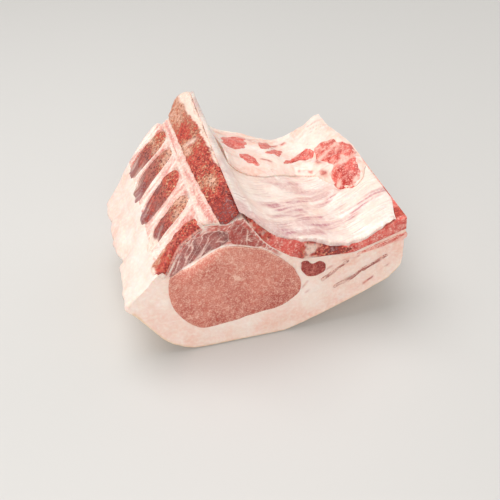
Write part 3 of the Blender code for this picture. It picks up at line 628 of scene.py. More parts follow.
# %% [markdown]
# ## Muscles that run through
# The loin eye and the smaller muscles run along the whole block. Each is its outline carried along, closed at both
# cuts by rings of the same outline that shrink to its middle. The cut faces bulge a little, because cut muscle
# swells between the stiffer layers round it, and a soft edge leaves the fine groove where fat and muscle meet.

# %% A muscle from its outline
def rings(loop, count, crowd=1.0):
    """Smaller and smaller copies of a closed loop, as (count, points, 2), and their share of the full size."""
    share = 1 - np.linspace(0, 1, count) ** crowd
    middle = loop.mean(axis=0)
    return middle + (loop - middle) * share[:, None, None], share[:, None]


def ragged(loop, depth, size, seed=0):
    """A closed loop whose points are moved out and in by noise."""
    return loop + outward(loop) * (depth * grain(loop[:, 0], loop[:, 1], size, seed))[:, None]


def through(name, loop, material, proud, wave_mm, paint, count=32):
    """A muscle: sides along the block and a cut face at each end. paint(x, z, share) gives attribute values."""
    grids = [wrapped(bend(loop[:, 0], np.linspace(0, LENGTH, 24)[:, None], loop[:, 1]))]
    values = {}
    for end, side in ((0.0, -1), (LENGTH, 1)):
        flat, share = rings(loop, count, 1.25)
        x, z = flat[..., 0], flat[..., 1]
        relief = proud + wave_mm * grain(x, z, 11, side + 2) + 0.5 * wave_mm * grain(x, z, 3.5, side + 3)
        face = bend(x, end, z)
        face[..., 1] += side * relief * (1 - share**14)
        grids.append(wrapped(face))
        for key, value in paint(x, z, share).items():
            values.setdefault(key, [0.0]).append(wrapped(np.broadcast_to(value, x.shape)))
    build(name, grids, material, [name.replace("_cut", "")], values)


# %% Loin eye
def eye_paint(x, z, share):
    """Pale marbling that fans out from the middle top, a deeper lower right, and a white skin on the upper edge."""
    angle, reach = np.arctan2(z - 96, x - 22), np.hypot(x - 22, z - 96)
    fans = smooth(2.2 * stretched(reach, angle * 40, 5, 0.9)) * (0.5 + 0.5 * smooth(0.3 + grain(x, z, 9)))
    crown = near_line(x, z, [(18, 84), (24, 76), (30, 66)], 5.0) * smooth(0.4 + grain(x, z, 2.5, 2))
    flecks = near_line(x, z, [(27, 61), (29, 58)], 2.2) * smooth(0.5 + 2 * grain(x, z, 1.8, 7))
    corner = past(x, 26, 36) * past(z, 56, -26) + 0.5 * past(z, 34, -10)
    edge = past(share, 0.97, 0.025) * past(z, 56, 20)
    return {"pale": np.clip(0.2 * fans + 0.2 * crown + 0.7 * flecks + 0.6 * edge, 0, 1), "deep": 0.85 * corner}


through("loin_eye_cut", ragged(rounded(EYE, 260), 0.7, 9), loin_pink, 0.25, 0.3, eye_paint, 60)
print("loin eye:", np.ptp(np.array(EYE), axis=0), "mm")

# %% [markdown]
# ## The smaller muscles
# Over the eye lie a wedge of greyish meat, full of white threads, and the brown muscle beside the backbone in a
# white net. Right of it is a small dark heart of meat. Thin lean layers run through the belly. They differ in
# their outline and in what is painted on them, so they share one function.

# %% Smaller muscles
SPINALIS = [(2.4, 7.2), (9, 6.6), (18, 6.4), (29, 6.4), (33, 7.2), (42, 7.2), (46, 8.0), (48.5, 10), (47.4, 13.4),
            (44, 15), (38, 14.8), (30, 13.8), (22, 13.2), (12, 11.6), (5, 9.2)]
MULTIFIDUS = [(24.6, 100.5), (26.6, 102.8), (30.6, 102.6), (34.9, 98.8), (38.6, 93.6), (43.2, 87.0), (45.4, 83.6),
              (41.4, 83.2), (33.8, 86.1), (25.8, 89.2), (23.6, 94)]
SIDE_MUSCLE = [(71.6, 61.8), (75.6, 63.0), (79.6, 60.0), (84.6, 61.4), (89, 57.2), (88, 51.4), (82.4, 48.2),
               (76.8, 49.4), (73, 54.4)]
FLANK_LEAN = [(111, 60.6), (118, 61.4), (126.3, 63.2), (136, 65.6), (143.95, 67.8), (143.55, 72.4), (136, 70.2),
              (126, 66.8), (118, 64.2), (112, 62.2)]
BELLY_LEAN = [(97.4, 33.8), (108.2, 38.2), (116.2, 44.6), (124.8, 48.8), (132.4, 53.8), (131.6, 55.4),
              (124, 50.8), (115.2, 46.6), (107.2, 40.2), (97, 36)]
GREY_LEAN = [(88.4, 42.6), (96.9, 49), (105, 55.6), (104, 57.2), (96, 51.2), (87.8, 44.6)]


def net_paint(x, z, share):
    """A white net of two sizes, finer where it breaks up."""
    net = hump(grain(x, z, 3.0), 0.09) + hump(grain(x, z, 6.0, 1), 0.05)
    net = net * smooth(0.6 + 1.5 * grain(x, z, 5, 3))
    return {"pale": np.clip(0.8 * net + 0.3 * past(share, 0.93, 0.07), 0, 1),
            "deep": 0.5 * smooth(0.2 + grain(x, z, 3, 2))}


def wedge_paint(x, z, share):
    """White threads that run aslant along the wedge."""
    along, depth = sheet_place(x, z)
    lines = hump(stretched(along - 1.2 * depth, depth + 0.22 * along, 10, 1.15), 0.13)
    return {"pale": np.clip(0.7 * lines + 0.5 * past(share, 0.95, 0.05), 0, 1),
            "deep": 0.3 + 0.7 * smooth(0.2 + grain(x, z, 4))}


def lobe_paint(x, z, share):
    """A pale cleft down the middle and a pale rim."""
    cleft = near_line(x, z, [(79, 62), (80.5, 57), (79.5, 53)], 0.7)
    return {"pale": np.clip(0.5 * cleft + 0.3 * past(share, 0.9, 0.1), 0, 1)}


def lean_paint(x, z, share):
    """Pale fibres along the layer, and a ragged rim of fat."""
    lines = smooth(0.35 + 1.5 * stretched(x + 0.6 * z, z - 0.6 * x, 9, 1.3))
    ragged_rim = smooth((share + 0.4 * grain(x, z, 2.2, 5) - 0.62) / 0.25)
    return {"pale": np.clip(0.1 + 0.4 * lines + ragged_rim, 0, 1), "deep": 0.35}


through("spinalis_muscle_cut", rounded([sheet(a, d) for a, d in SPINALIS], 140), brown_pink,
        0.2, 0.3, wedge_paint)
through("multifidus_muscle_cut", rounded(MULTIFIDUS, 110), back_red, 0.2, 0.35, net_paint)
through("side_muscle_cut", ragged(rounded(SIDE_MUSCLE, 110), 0.5, 4), dark_red,
        0.25, 0.25, lobe_paint)
through("flank_lean_cut", ragged(rounded(FLANK_LEAN, 160), 0.4, 3), bright_red,
        0.1, 0.15, lean_paint, 14)
through("belly_lean_cut", ragged(rounded(BELLY_LEAN, 160), 0.7, 2.5), back_red,
        0.05, 0.1, lean_paint, 14)
through("grey_lean_cut", ragged(rounded(GREY_LEAN, 120), 0.7, 2.5), back_red,
        0.05, 0.1, lean_paint, 14)
print("six smaller muscles")

# %% [markdown]
# ## Ribs and the meat between them
# The ribs lie in one layer and sweep back on their way to the rib ends, so the front cut goes aslant through them.
# Each rib or strip of meat is a band of that layer between two edges. Holding its edges at the two cuts gives the
# cut faces by themselves, which is simpler than cutting the band with a plane.

# %% Bands of the rib layer
THINNEST = 0.06  # a band keeps this thickness where it has run out, so that it stays closed
OVER = -0.1  # the meat reaches this far into its neighbours, so no gap shows
RIB_JOINT = 78.5  # where a cut rib has its pale joint


def rib_line(k, x):
    """The middle of rib k along the block: a quarter of a sine wave back from the backbone."""
    return FIRST_RIB + RIB_PITCH * k + RIB_SWEEP * np.sin(0.5 * math.pi * np.clip((x - 38) / 82, 0, 1))


def cage_at(place):
    """Points above and below the layer at a place from 0, the backbone, to 1, the rib ends."""
    steps = np.linspace(0, 1, len(CAGE_TOP))
    return [np.stack([np.interp(place, steps, line[:, k]) for k in (0, 1)], -1) for line in (CAGE_TOP, CAGE_BASE)]


def band(name, near, far, material, looks):
    """A band between two edges y(x, depth share), held between the cuts. looks gives a function for each value."""
    place = np.linspace(0, 1, 130)
    share = np.linspace(0, 1, 11)
    top, base = cage_at(place)
    x, z = [top[:, None, k] + (base - top)[:, None, k] * share for k in (0, 1)]
    edges = [np.clip(edge(top[:, None, 0], share[None]) + 0 * x, 0, LENGTH) for edge in (near, far)]
    kept = np.flatnonzero((edges[1] - edges[0]).max(axis=1) > 0.05)
    x, z, edges = x[kept], z[kept], [edge[kept] for edge in edges]
    # Where a band has run out at a cut, it sinks behind its neighbour.
    sunk = 0.8 * (1 - past(edges[1], edges[0], 0.5))
    sunk = np.where(edges[0] <= 0, sunk, np.where(edges[1] >= LENGTH, -sunk, 0))
    edges[1] = np.maximum(edges[1], edges[0] + THINNEST)
    walls = []
    for edge in edges:
        wall = bend(x, edge, z)
        crumbs = 0.3 + 0.4 * lumps(wall, 1.9) + 0.25 * lumps(wall, 6, 1)
        inside = np.minimum(1, 12 * share * (1 - share))[None]
        outer = smooth((edge - LENGTH) / 1.5 + 1) - smooth(1 - edge / 1.5)
        wall[..., 1] += outer * crumbs * inside + sunk
        walls.append(wall)
    grids = [walls[0], walls[1]]
    for pick in (np.s_[:, 0], np.s_[:, -1], np.s_[0], np.s_[-1]):
        grids.append(strip(walls[0][pick], walls[1][pick], 9))
    paint = {key: [value(grid) for grid in grids] for key, value in looks.items()}
    build(name, grids, material, [name.replace("_cut", "")], paint)


def rib_edge(k, side, spare):
    """One edge of rib k, before it (-1) or behind it (1), rounded from top to base."""
    def edge(x, share):
        return rib_line(k, x) + side * (RIB_WIDTH / 2 - 1.6 * (1 - np.sin(math.pi * share)) + spare)
    return edge


def end_white(grid):
    """Fat smeared in patches over the ends of the layer, but not at the front corner."""
    edge = 137.5 - 7.5 * past(grid[..., 1], 85, 52)
    patches = 0.35 + 0.65 * smooth(0.5 + 1.3 * lumps(grid * (1, 0.6, 1), 5) + 0.5 * lumps(grid, 2, 1))
    return patches * past(grid[..., 0], edge, 1.5) * past(grid[..., 1], 36, 8)


def rib_tone(grid):
    """Bright red near the backbone, dark beyond the joint, and tan at the end."""
    return 0.46 - 0.19 * past(grid[..., 0], 84, 3) + 0.2 * past(grid[..., 0], 112, 8)


def rib_sponge(grid):
    """How open the bone's holes are: widest in the middle stretch."""
    return 0.25 + 0.65 * past(grid[..., 0], 70, 7) - 0.7 * past(grid[..., 0], 112, 8)


def rib_pale(grid):
    """White at the ends, in the joint, and in flecks before it."""
    joint = 0.85 * hump(grid[..., 0] - RIB_JOINT, 4) * smooth(0.5 + 1.1 * lumps(grid, 3.6))
    flecks = 0.45 * smooth(1.8 * lumps(grid, 1.8)) * past(grid[..., 0], 78, -4)
    return np.clip(end_white(grid) + joint + flecks, 0, 1)


def meat_deep(grid):
    """Darker patches."""
    return 0.35 * smooth(lumps(grid, 4))


def meat_pale(grid):
    """White at the ends, and streaks of fat towards them."""
    streaks = smooth(0.1 + 1.5 * lumps(grid * (0.4, 1, 1), 1.6))
    return np.clip(end_white(grid) + 0.35 * past(grid[..., 0], 108, 6) * streaks, 0, 1)


def rib_strip(number, near, far):
    """The strip of meat between two edges. Strip 7 lies before the first rib, and strip 8 behind the last one."""
    band(f"rib_meat_{number}_cut", near, far, bright_red, {"deep": meat_deep, "pale": meat_pale})


for k in range(RIBS):
    band(f"rib_{k + 1}_cut", rib_edge(k, -1, 0), rib_edge(k, 1, 0), bone,
         {"tone": rib_tone, "sponge": rib_sponge, "pale": rib_pale})
for k in range(RIBS - 1):
    rib_strip(k + 1, rib_edge(k, 1, OVER), rib_edge(k + 1, -1, OVER))
rib_strip(RIBS, rib_edge(-1, 1, OVER), rib_edge(0, -1, OVER))
rib_strip(RIBS + 1, rib_edge(RIBS - 1, 1, OVER), lambda *place: LENGTH)
print(RIBS, "ribs and", RIBS + 1, "strips of meat")

# %% [markdown]
# ## The feather bones
# The saw went through the middle of every vertebra. What shows is half a body, its feather bone, and the flat cut
# through both. A feather bone is a plate on the sawn face with rounded ends. Its outline is a superellipse about a
# bent middle line, which takes only three stations for each bone, and noise makes its edge ragged.

# %% Plates on the sawn face
FOOT = CANAL_EDGES[0] - 0.5
FEATHERS = [  # tip, middle and base of each bone: place along the rack, and half its width
    ((8, 7.5), (13, 7.8), (20, 7.5)), ((31, 6.5), (40, 8), (45, 9)), ((59, 8), (68, 11), (74, 11)),
    ((88, 9.5), (98, 9.5), (100, 8.5)), ((113.5, 8), (121, 10), (124, 10.5))]
FEATHER_MIDDLE, FEATHER_REACH = 15.6, 20.2
TIP_ENDS = (-1, 5, -3, -4.5, -5)  # where the bone ends at its tip; the rest is gristle
TURN_STEPS, LOOP_POINTS = 720, 220
BEYOND_CUT = 0.9  # a bone's outline goes this far past a cut before it is held there


def feather_at(k, along):
    """Middle and half width of feather bone k: parabolas through its three stations."""
    t = along / FOOT
    weights = (1 - t) * (1 - 2 * t), 4 * t * (1 - t), t * (2 * t - 1)
    return [sum(weight * station[pick] for weight, station in zip(weights, FEATHERS[k])) for pick in (0, 1)]


def on_cut(along, y, spare=0.0):
    """The place in the block for a true place y on the sawn face, held between the cuts and a little beyond."""
    return np.clip(block_y(*sheet(along, 0.5), y), -spare, LENGTH + spare)


def on_sheet(along, depth, y):
    """Rack points from places on the sawn face, with y as the place in the block."""
    x, z = sheet(along, depth)
    return bend(x, y, z)


def feather_power(u):
    """The superellipse's power: square at the tip, rounder at the canal."""
    return np.where(u > 0, 2.7, 4.0)


def feather_loop(k):
    """Outline of a feather bone as (along, block y): |u|^n + |v|^n = 1 about its middle line."""
    turn = np.linspace(0, 2 * math.pi, TURN_STEPS + 1)[:-1]
    power = 2 / feather_power(np.cos(turn))
    u, v = [np.sign(wave) * np.abs(wave) ** power for wave in (np.cos(turn), np.sin(turn))]
    along = FEATHER_MIDDLE + FEATHER_REACH * u
    middle, half = feather_at(k, along)
    y = np.minimum(middle + half * v, back_cut(*sheet(along, 0.5)) + BEYOND_CUT)
    line = np.stack([along, y], -1)
    loop = ragged(evenly(np.vstack([line, line[:1]]), LOOP_POINTS + 1)[:-1], 0.9, 5, k)
    return np.stack([loop[:, 0], on_cut(loop[:, 0], loop[:, 1], BEYOND_CUT)], -1)


def outside_feather(k, along, y):
    """How far a place lies outside bone k, in millimetres."""
    middle, half = feather_at(k, along)
    u, v = (along - FEATHER_MIDDLE) / FEATHER_REACH, (y - middle) / half
    power = feather_power(u)
    return ((np.abs(u) ** power + np.abs(v) ** power) ** (1 / power) - 1) * half


def plate(k):
    """The grids of feather bone k: a crowned top with a worn edge, a side, and its base; and the top's places."""
    loop = feather_loop(k)
    flat, share = rings(loop, 35, 1.3)
    along, y = flat[..., 0], flat[..., 1]
    crumbs = 0.4 * grain(along, y, 1.8, k) + 0.35 * grain(along, y, 6, k + 1)
    depth = 0.4 - 0.4 * (1 - share**2) + 0.9 * share**16 - crumbs * (1 - share**10)
    depth = depth - 0.9 * past(along, 1, -3)
    down = np.linspace(0, 1, 5)[:, None]
    wall = on_sheet(loop[:, 0], depth[0] + (BONE_DEPTH - depth[0]) * down, loop[:, 1])
    bottom = rings(loop, 3)[0]
    grids = [on_sheet(along, depth, y), wall, on_sheet(bottom[..., 0], BONE_DEPTH, bottom[..., 1])]
    return [wrapped(grid) for grid in grids], along, y, share


# %% [markdown]
# ## The bodies and discs
# A body is its section carried along between two discs, a flat top with a rounded far edge. The saw runs straight
# through the discs, so they hardly show: they sit a hair lower and take nearly the same colours. Colour is painted
# by the place on the face, as blood and marrow fill the bone unevenly: dark at the front cut, then tan and bright
# red, then a brownish pink end.

# %% Sections of the backbone
DISC_LINES = [20.0 + RIB_PITCH * k for k in range(VERTEBRAE - 1)]
DISC_HALF, DISC_SLANT = 1.7, 0.28
TONE_SPOTS = [(0.25, (57, 38), (3.5, 8)), (0.35, (50, 84), (3, 7)), (-0.25, (52, 106), (3, 9)),
              (-0.3, (62, 34), (3.5, 12)), (0.25, (55, 56), (2.5, 5))]


def body_section(depth):
    """Half of a vertebral body: flat on the sawn face, sloped beside the ribs."""
    side = [(27.4, 112.6), (30.2, 112.0), (33.2, 109.8), (36.0, 106.6)]
    reach = (64.5, 60, 56, 52)
    if depth < BODY_DEPTH:
        side = [(27.4, 112.6), (28.4, 112.3), (29.1, 111.8), (29.5, 111.2)]
        reach = (61.5, 58.5, 55, 51.5)
    left = CANAL_EDGES[1] + 0.2
    outline = [sheet(left, 0.3)] + side + [sheet(along, depth) for along in (*reach, left)]
    return softened(evenly(outline + outline[:1], 151)[:-1], 3)


def body(start, end, rows, crumbs, lower=0.0):
    """The grids of a stretch of the backbone between two lines that slant across it, and the places of its rows."""
    shallow, deep = body_section(FRONT_DEPTH), body_section(BODY_DEPTH)
    along = sheet_place(*deep.T)[0]
    middle = np.linspace(start, end, rows)[:, None]
    y = middle + DISC_SLANT * (57 - along) * smooth(np.minimum(middle, LENGTH - middle) / 15)
    section = shallow + (deep - shallow) * np.clip(y / DEEP_FROM, 0, 1)[..., None]
    place = np.stack([section[..., 0], y, section[..., 1]], -1)
    far_edge = 2.2 * worn((y - LENGTH + 4) / 4.2)
    fade = past(y, LENGTH, -3) * smooth(y / 1.5)
    relief = (crumbs * lumps(place, 1.7) + 1.3 * crumbs * lumps(place, 5, 1)) * fade - lower - far_edge
    section = section + outward(deep)[None] * relief[..., None]
    places = [sheet_place(section[..., 0], section[..., 1])[0]]
    grids = [bend(section[..., 0], y, section[..., 1])]
    for row in (0, -1):
        flat, shrink = rings(section[row], 6)
        flat_y = y[row].mean() + (y[row] - y[row].mean()) * shrink
        places.append(sheet_place(flat[..., 0], flat[..., 1])[0])
        grids.append(bend(flat[..., 0], flat_y, flat[..., 1]))
    return [wrapped(grid) for grid in grids], [wrapped(place) for place in places]


def spot(along, y, middle, size):
    """1 at a place on the sawn face, and less away from it."""
    return np.exp(-(((along - middle[0]) / size[0]) ** 2) - ((y - middle[1]) / size[1]) ** 2)


def body_looks(grids, places):
    """Tone, sponge and paleness of the bodies, from where each point lies: stations along y, and spots."""
    looks = {"tone": [], "sponge": [], "pale": []}
    for grid, along in zip(grids, places):
        y = grid[..., 1] + 0.35 * (along - 55)
        tone = np.interp(y, [0, 19, 29, 36, 46, 54, 70, 76, 84, 96, 104, 116, 125, 150],
                         [0.2, 0.26, 0.52, 0.7, 0.72, 0.46, 0.44, 0.4, 0.62, 0.74, 0.62, 0.7, 0.84, 0.9])
        for share, middle, size in TONE_SPOTS:
            tone = tone + share * spot(along, y, middle, size)
        looks["tone"].append(tone)
        looks["sponge"].append(np.interp(y, [0, 17, 26, 70, 78, 95, 106, 150],
                                         [0.2, 0.3, 1, 1, 0.5, 0.9, 0.45, 0.2]))
        white = 0.8 * spot(along, y, (54, 91), (3.5, 2.2)) + 0.7 * spot(along, y, (61, 128), (2.6, 10))
        white = white + 0.35 * past(y, 132, 14) * past(along, 55, 6)
        skin_edge = np.interp(y, [0, 30, 60, 95, 112, 122, 150], [64.3, 64.3, 62.2, 61.0, 59.4, 57.6, 56.6])
        skin_edge = skin_edge + 1.2 * grain(y, 0.6 * along, 6, 2) + 0.5 * grain(y, along, 2, 3)
        white = white + 0.95 * past(along, skin_edge, 1.4)
        looks["pale"].append(np.clip(white, 0, 1))
    return looks


# %% Vertebrae and discs
def feather_tone(along, y, k):
    """Purple grey at the tip, dark red, then tan beside the canal, in patches."""
    tone = 0.3 * past(along, 2, 10) + 0.52 * past(along, 12, 12)
    if k == 0:
        return 0.42 + 0.4 * past(y, 5, 7) + 0.2 * grain(along, y, 5, k)
    return tone + 0.3 * grain(along, y, 7, k) - 0.25 * (k == 2) * past(along, 10, 10)


starts = [0.0] + [line + DISC_HALF - 1.1 for line in DISC_LINES]
stops = [line - DISC_HALF + 1.1 for line in DISC_LINES] + [LENGTH]
for k in range(VERTEBRAE):
    grids, places = body(starts[k], stops[k], 52, 0.4)
    looks = body_looks(grids, places)
    looks["dull"] = [0.0, 0.0, 0.0]
    feather, along, y, share = plate(k)
    grids += feather
    at_front = k == 0
    wall_pale = np.zeros(feather[1].shape[:2])
    wall_pale[-2:] = 0.9 * (1 - 0.6 * at_front)
    looks["tone"] += [wrapped(feather_tone(along, y, k)), 0.42, 0.3]
    looks["sponge"] += [wrapped(past(along, 6, 12)), 0.5, 0.0]
    beyond = smooth((TIP_ENDS[k] + 2 * grain(along, y, 4, k) - along) / 2.5)
    smear = 0.35 * smooth(0.1 + 1.5 * stretched(along, y, 9, 1.8, k)) * past(along, 16, -14)
    dull = 0.5 + 0.5 * grain(along, y, 8, k + 3) - 0.5 * past(along, 18, 10) - 0.2 * (k == 2)
    looks["dull"] += [wrapped(np.clip(dull - 0.5 * at_front, 0, 0.8)), 0.0, 0.0]
    white_rim = 0.4 * past(share, 0.95, 0.04) * (not at_front)
    looks["pale"] += [wrapped(np.clip(beyond + smear * (not at_front) + white_rim, 0, 1)), wall_pale, 0.0]
    build(f"vertebra_{k + 1}_cut", grids, bone, [f"vertebra_{k + 1}"], looks)
for k, line in enumerate(DISC_LINES):
    grids, places = body(line - DISC_HALF, line + DISC_HALF, 9, 0.12, 0.16)
    build(f"disc_{k + 1}_cut", grids, bone, [f"disc_{k + 1}"], body_looks(grids, places))
print(VERTEBRAE, "vertebrae and", len(DISC_LINES), "discs")

# %% [markdown]
# ## Between the feather bones, and the canal
# White and pink ligament fills the room between the feather bones, in strands that run up to the spinal canal. Each
# piece is a sheet from the middle of one bone to the middle of the next that dips under both, so that no gap
# shows. The canal's lining is a strip of two soft strands. Streaks are in their relief and in their paint.

# %% Ligaments and canal lining
along = np.linspace(-0.9, FOOT + 1.0, 86)[None]
for k in range(VERTEBRAE):
    first = feather_at(k, along)[0] - 14 * (k == 0)
    if k + 1 < VERTEBRAE:
        last = feather_at(k + 1, along)[0]
    else:
        last = np.minimum(back_cut(*sheet(along, 0.5)), np.interp(along, [30.8, FOOT], [144, CANAL_END]))
    y = first + (last - first) * np.linspace(0, 1, 58)[:, None]
    y = np.maximum(y, front_cut(*sheet(along, 0.5)))
    outside = outside_feather(k, along, y)
    if k + 1 < VERTEBRAE:
        outside = np.minimum(outside, outside_feather(k + 1, along, y))
    lean_of = (FEATHERS[k][2][0] - FEATHERS[k][0][0]) / FOOT
    strands = stretched(along, y - lean_of * along, 13, 1.6, k)
    streak = stretched(along, y - lean_of * along, 14, 2.4, k + 5)
    rim_of_cut = past(last, y, 1.5) if k + 1 == VERTEBRAE else 1.0
    depth = 1.7 - (1.75 + 0.3 * rim_of_cut) * smooth((outside + 0.5) / 1.5) - 0.3 * strands * rim_of_cut
    block = on_cut(along, y)
    top = on_sheet(along, depth, block)
    base = on_sheet(along, BONE_DEPTH, block)
    beside = 0.3 * hump(outside, 1.2)
    build(f"ligament_{k + 1}_cut", shell(top, base), gristle, [f"ligament_{k + 1}"],
          {"deep": [(0.8 if k == 0 else 0.5) * smooth(0.1 + 1.6 * streak) + beside, 0.2],
           "pale": [0.6 * smooth(0.1 - 1.6 * streak), 0.4]})

across = np.linspace(0, 1, 34)[None]
y = np.linspace(0, CANAL_END, 150)[:, None]
width = CANAL_EDGES[1] - CANAL_EDGES[0] + 1.6
bumps = np.abs(np.sin(math.pi * (across * 2.1 + 0.12 * np.sin(y / 11)))) ** 0.7
edges = smooth(across / 0.12) * past(across, 1, -0.1)
top_depth = 0.9 - 0.9 * bumps * edges - 0.35 * edges - 0.3 * stretched(y, across * width, 16, 1.4)
top_depth = top_depth + 1.8 * worn(1 - y / 2.4)
along = CANAL_EDGES[0] - 1.2 + width * across
top, base = on_sheet(along, top_depth, y), on_sheet(along, CANAL_DEPTH, y)
rose = past(across, 0.38, 0.15) * past(across, 0.88, -0.15)
rose = rose * smooth(0.7 + stretched(y, across * width, 20, 2.5, 3))
build("canal_lining_cut", shell(top, base), gristle, ["canal_lining"],
      {"deep": [0.12 + 0.95 * rose + 0.4 * smooth(lumps(top, 6)), 0.0],
       "pale": [0.3 * past(across, 0.4, -0.2), 0.0]})
print("ligaments and canal lining")

# %% [markdown]
# ## The membrane inside the ribs
# A white skin lies over the ribs and the meat between them. It swells over each rib and shows the meat behind it
# as pink streaks elsewhere. It is one slab: a grid on its upper side, the same grid lowered, and the edges closed.
# The streaks are painted along a few lines, broken up by noise that is stretched along the ribs. The painted value
# across says how far a point lies from the first rib, for the fine threads of the material.

# %% Lining over the ribs
RIDGE_SIDE = np.array([(30.4, 112.2), (33.4, 110.0), (36.3, 106.8)])
FLAP_FRONT = [(38, 84), (47, 77), (60, 76), (70, 78), (83, 84), (97, 90), (110, 84), (116, 66), (121, 54),
              (127, 49), (133, 52), (138, 62), (146, 66)]
STREAKS = [([(43, 23), (56, 34), (66, 36), (83, 36)], 2.8), ([(76, 42), (92, 53), (108, 57)], 2.6),
           ([(64, 35), (73, 31.5), (82, 34)], 3.6), ([(41, 0), (50, 6), (63, 13.5), (80, 19), (106, 23)], 3.0),
           ([(50, 1), (62, 4), (76, 7), (87, 11)], 2.8), ([(113, 23), (121, 28), (138, 32)], 3.4),
           ([(75, 24), (84, 24), (94, 29)], 2.4), ([(64, 72), (71, 70), (76, 66)], 3.0),
           ([(56, 20), (66, 25), (80, 28)], 1.8), ([(88, 42), (104, 48), (124, 60)], 1.8)]
# Lines of the membrane's folds, along which painted shade stands for the shade in their creases.
FOLD_SHADE_LINES = [[(44, 70), (40, 46), (38, 30)], [(47, 40), (56, 47), (66, 50)], [(66, 40), (78, 42), (92, 50)]]
LINING_END = 140.5


def inner_line(above):
    """The line over the backbone side and the rib layer in the front cut, lifted by a distance, less at the top."""
    line = np.vstack([RIDGE_SIDE, CAGE_TOP])
    lift = np.full(len(line), above)
    lift[:3] = GAP + (above - GAP) * np.array([0.3, 0.55, 0.8])
    return line + normals(line) * lift[:, None]


def inner_height(x, above):
    """Height of that line over a place x."""
    line = inner_line(above)
    return np.interp(x, line[:, 0], line[:, 1])


def flap_front(x):
    """y of the front edge of the loose fat."""
    return np.interp(x, *np.transpose(FLAP_FRONT))


low, high = inner_line(-0.2), inner_line(GAP + LINING)
low[-1, 0] = high[-1, 0] = LINING_END
low, high = evenly(low, 145), evenly(high, 145)
walk = np.linspace(0, 1, 185)[:, None]
edge_x = high[None, :, 0]
front_edge = 0.5 + 0.8 * grain(edge_x, 0 * edge_x, 4.0, 3) + 1.0 * past(edge_x, 44, -8)
back_edge = LENGTH - 3.0 * past(edge_x, 36, -6)
y = front_edge + (back_edge - front_edge) * walk
pulled = 5.5 * (1 - smooth(y / 24)) * past(edge_x, 120, 21)
x = edge_x - pulled
swell = 0.5 + 0.5 * np.cos(2 * math.pi * (y - rib_line(0, x)) / RIB_PITCH)
free = smooth((flap_front(x) - 4 - y) / 10) * past(x, 44, 12) * past(x, 138, -8)
rib_way = y - rib_line(0, x)
fibre = stretched(x, rib_way, 16, 1.2)
thin_edge = 1.1 * (1 - past(y, front_edge, 2.0)) + 0.9 * (1 - past(edge_x, 141, -2.5))
lift = 1.7 * free * swell + 0.25 * fibre * past(x, 44, 10) + 0.35 * grain(x, y, 9) - thin_edge
top = bend(x, y, inner_height(x, GAP + LINING) + lift)
base = bend(low[:, 0] - pulled, y, low[:, 1])
true_y = top[..., 1]
meat = near_lines(x, true_y, STREAKS)
lines = smooth(0.35 + 2.2 * stretched(x, rib_way, 24, 0.9, 2)) * smooth(0.8 + grain(x, y, 8, 3))
faint = 0.36 * smooth(2.4 * stretched(x, rib_way, 22, 1.2, 6)) * smooth(0.3 + grain(x, y, 16, 7))
dark = hump(stretched(x, rib_way, 30, 3.0, 4), 0.06) * smooth(0.1 + 1.5 * grain(x, y, 12, 5))
# Painted shade: darker lines along the folds, as if shade lay in creases that the surface does not have.
fold_shade = near_lines(x + 0.5 * grain(x, y, 5), true_y, [(line, 0.45) for line in FOLD_SHADE_LINES])
deep = (0.8 * lines + 0.2) * meat + faint + 0.45 * dark * past(x, 46, 8)
deep = deep * (1 - 0.95 * past(x, 60, -12)) + 0.5 * fold_shade
build("rib_lining_skin", shell(top, base), membrane, ["rib_lining"],
      {"deep": [deep, 0.2], "across": [rib_way / 1000, 0.0],
       "pale": [0.5 * past(meat, 0.35, -0.3) * smooth(0.5 + grain(x, y, 8, 7)), 0.0]})
print("lining:", top.shape)

# %% [markdown]
# ## Loose fat at the back rim
# Along the back rim hangs a flap of loose fat with bits of red meat in it and the end of the diaphragm. The flap is
# a slab like the lining. One function gives the height of its upper side, and the red bits are domes that stand on
# that same function, so they sit in the fat wherever they are placed.

# %% Flap of fat
RIM_FLOOR, FLAP_END = 2 * GAP + LINING, 139.0
RIM_MEAT = {
    "rim_meat_1": [(51.5, 110), (51.5, 121), (55, 131), (61, 136), (70, 137), (69.5, 126), (64, 112), (57, 104.5)],
    "rim_meat_2": [(57.5, 98), (60, 103.5), (65, 102), (68, 92), (66.5, 84.5), (61, 88)],
    "rim_meat_3": [(79, 133), (86, 137.5), (90.5, 137), (87, 126), (80, 115), (75.5, 113), (76, 122)],
    "rim_meat_4": [(77, 105.5), (82, 113), (89, 121), (96.5, 124), (93, 114), (88, 106.5), (84, 107.5)],
    "rim_meat_5": [(84, 95), (93, 103), (103, 110), (111, 114), (119, 111.5),
                   (119.5, 104.5), (115, 100.5), (108, 104.5), (97, 102)],
}
DIAPHRAGM = [(116, 97), (118, 106), (124, 110.5), (130, 106), (130.5, 99), (137, 92), (138.5, 82), (134.5, 74),
             (133, 66), (132, 56), (127, 51), (121, 55), (117.5, 63), (118, 70), (121.5, 76), (120, 85),
             (117.5, 91)]
PAINTED_MEAT = [([(114.5, 93), (116, 87)], 2.4), ([(112.6, 82), (117, 73)], 1.6), ([(68, 133), (73, 130)], 3.2),
                ([(100, 92), (108, 88)], 1.3), ([(72, 96), (80, 93)], 1.4), ([(88, 128), (100, 132)], 1.6)]


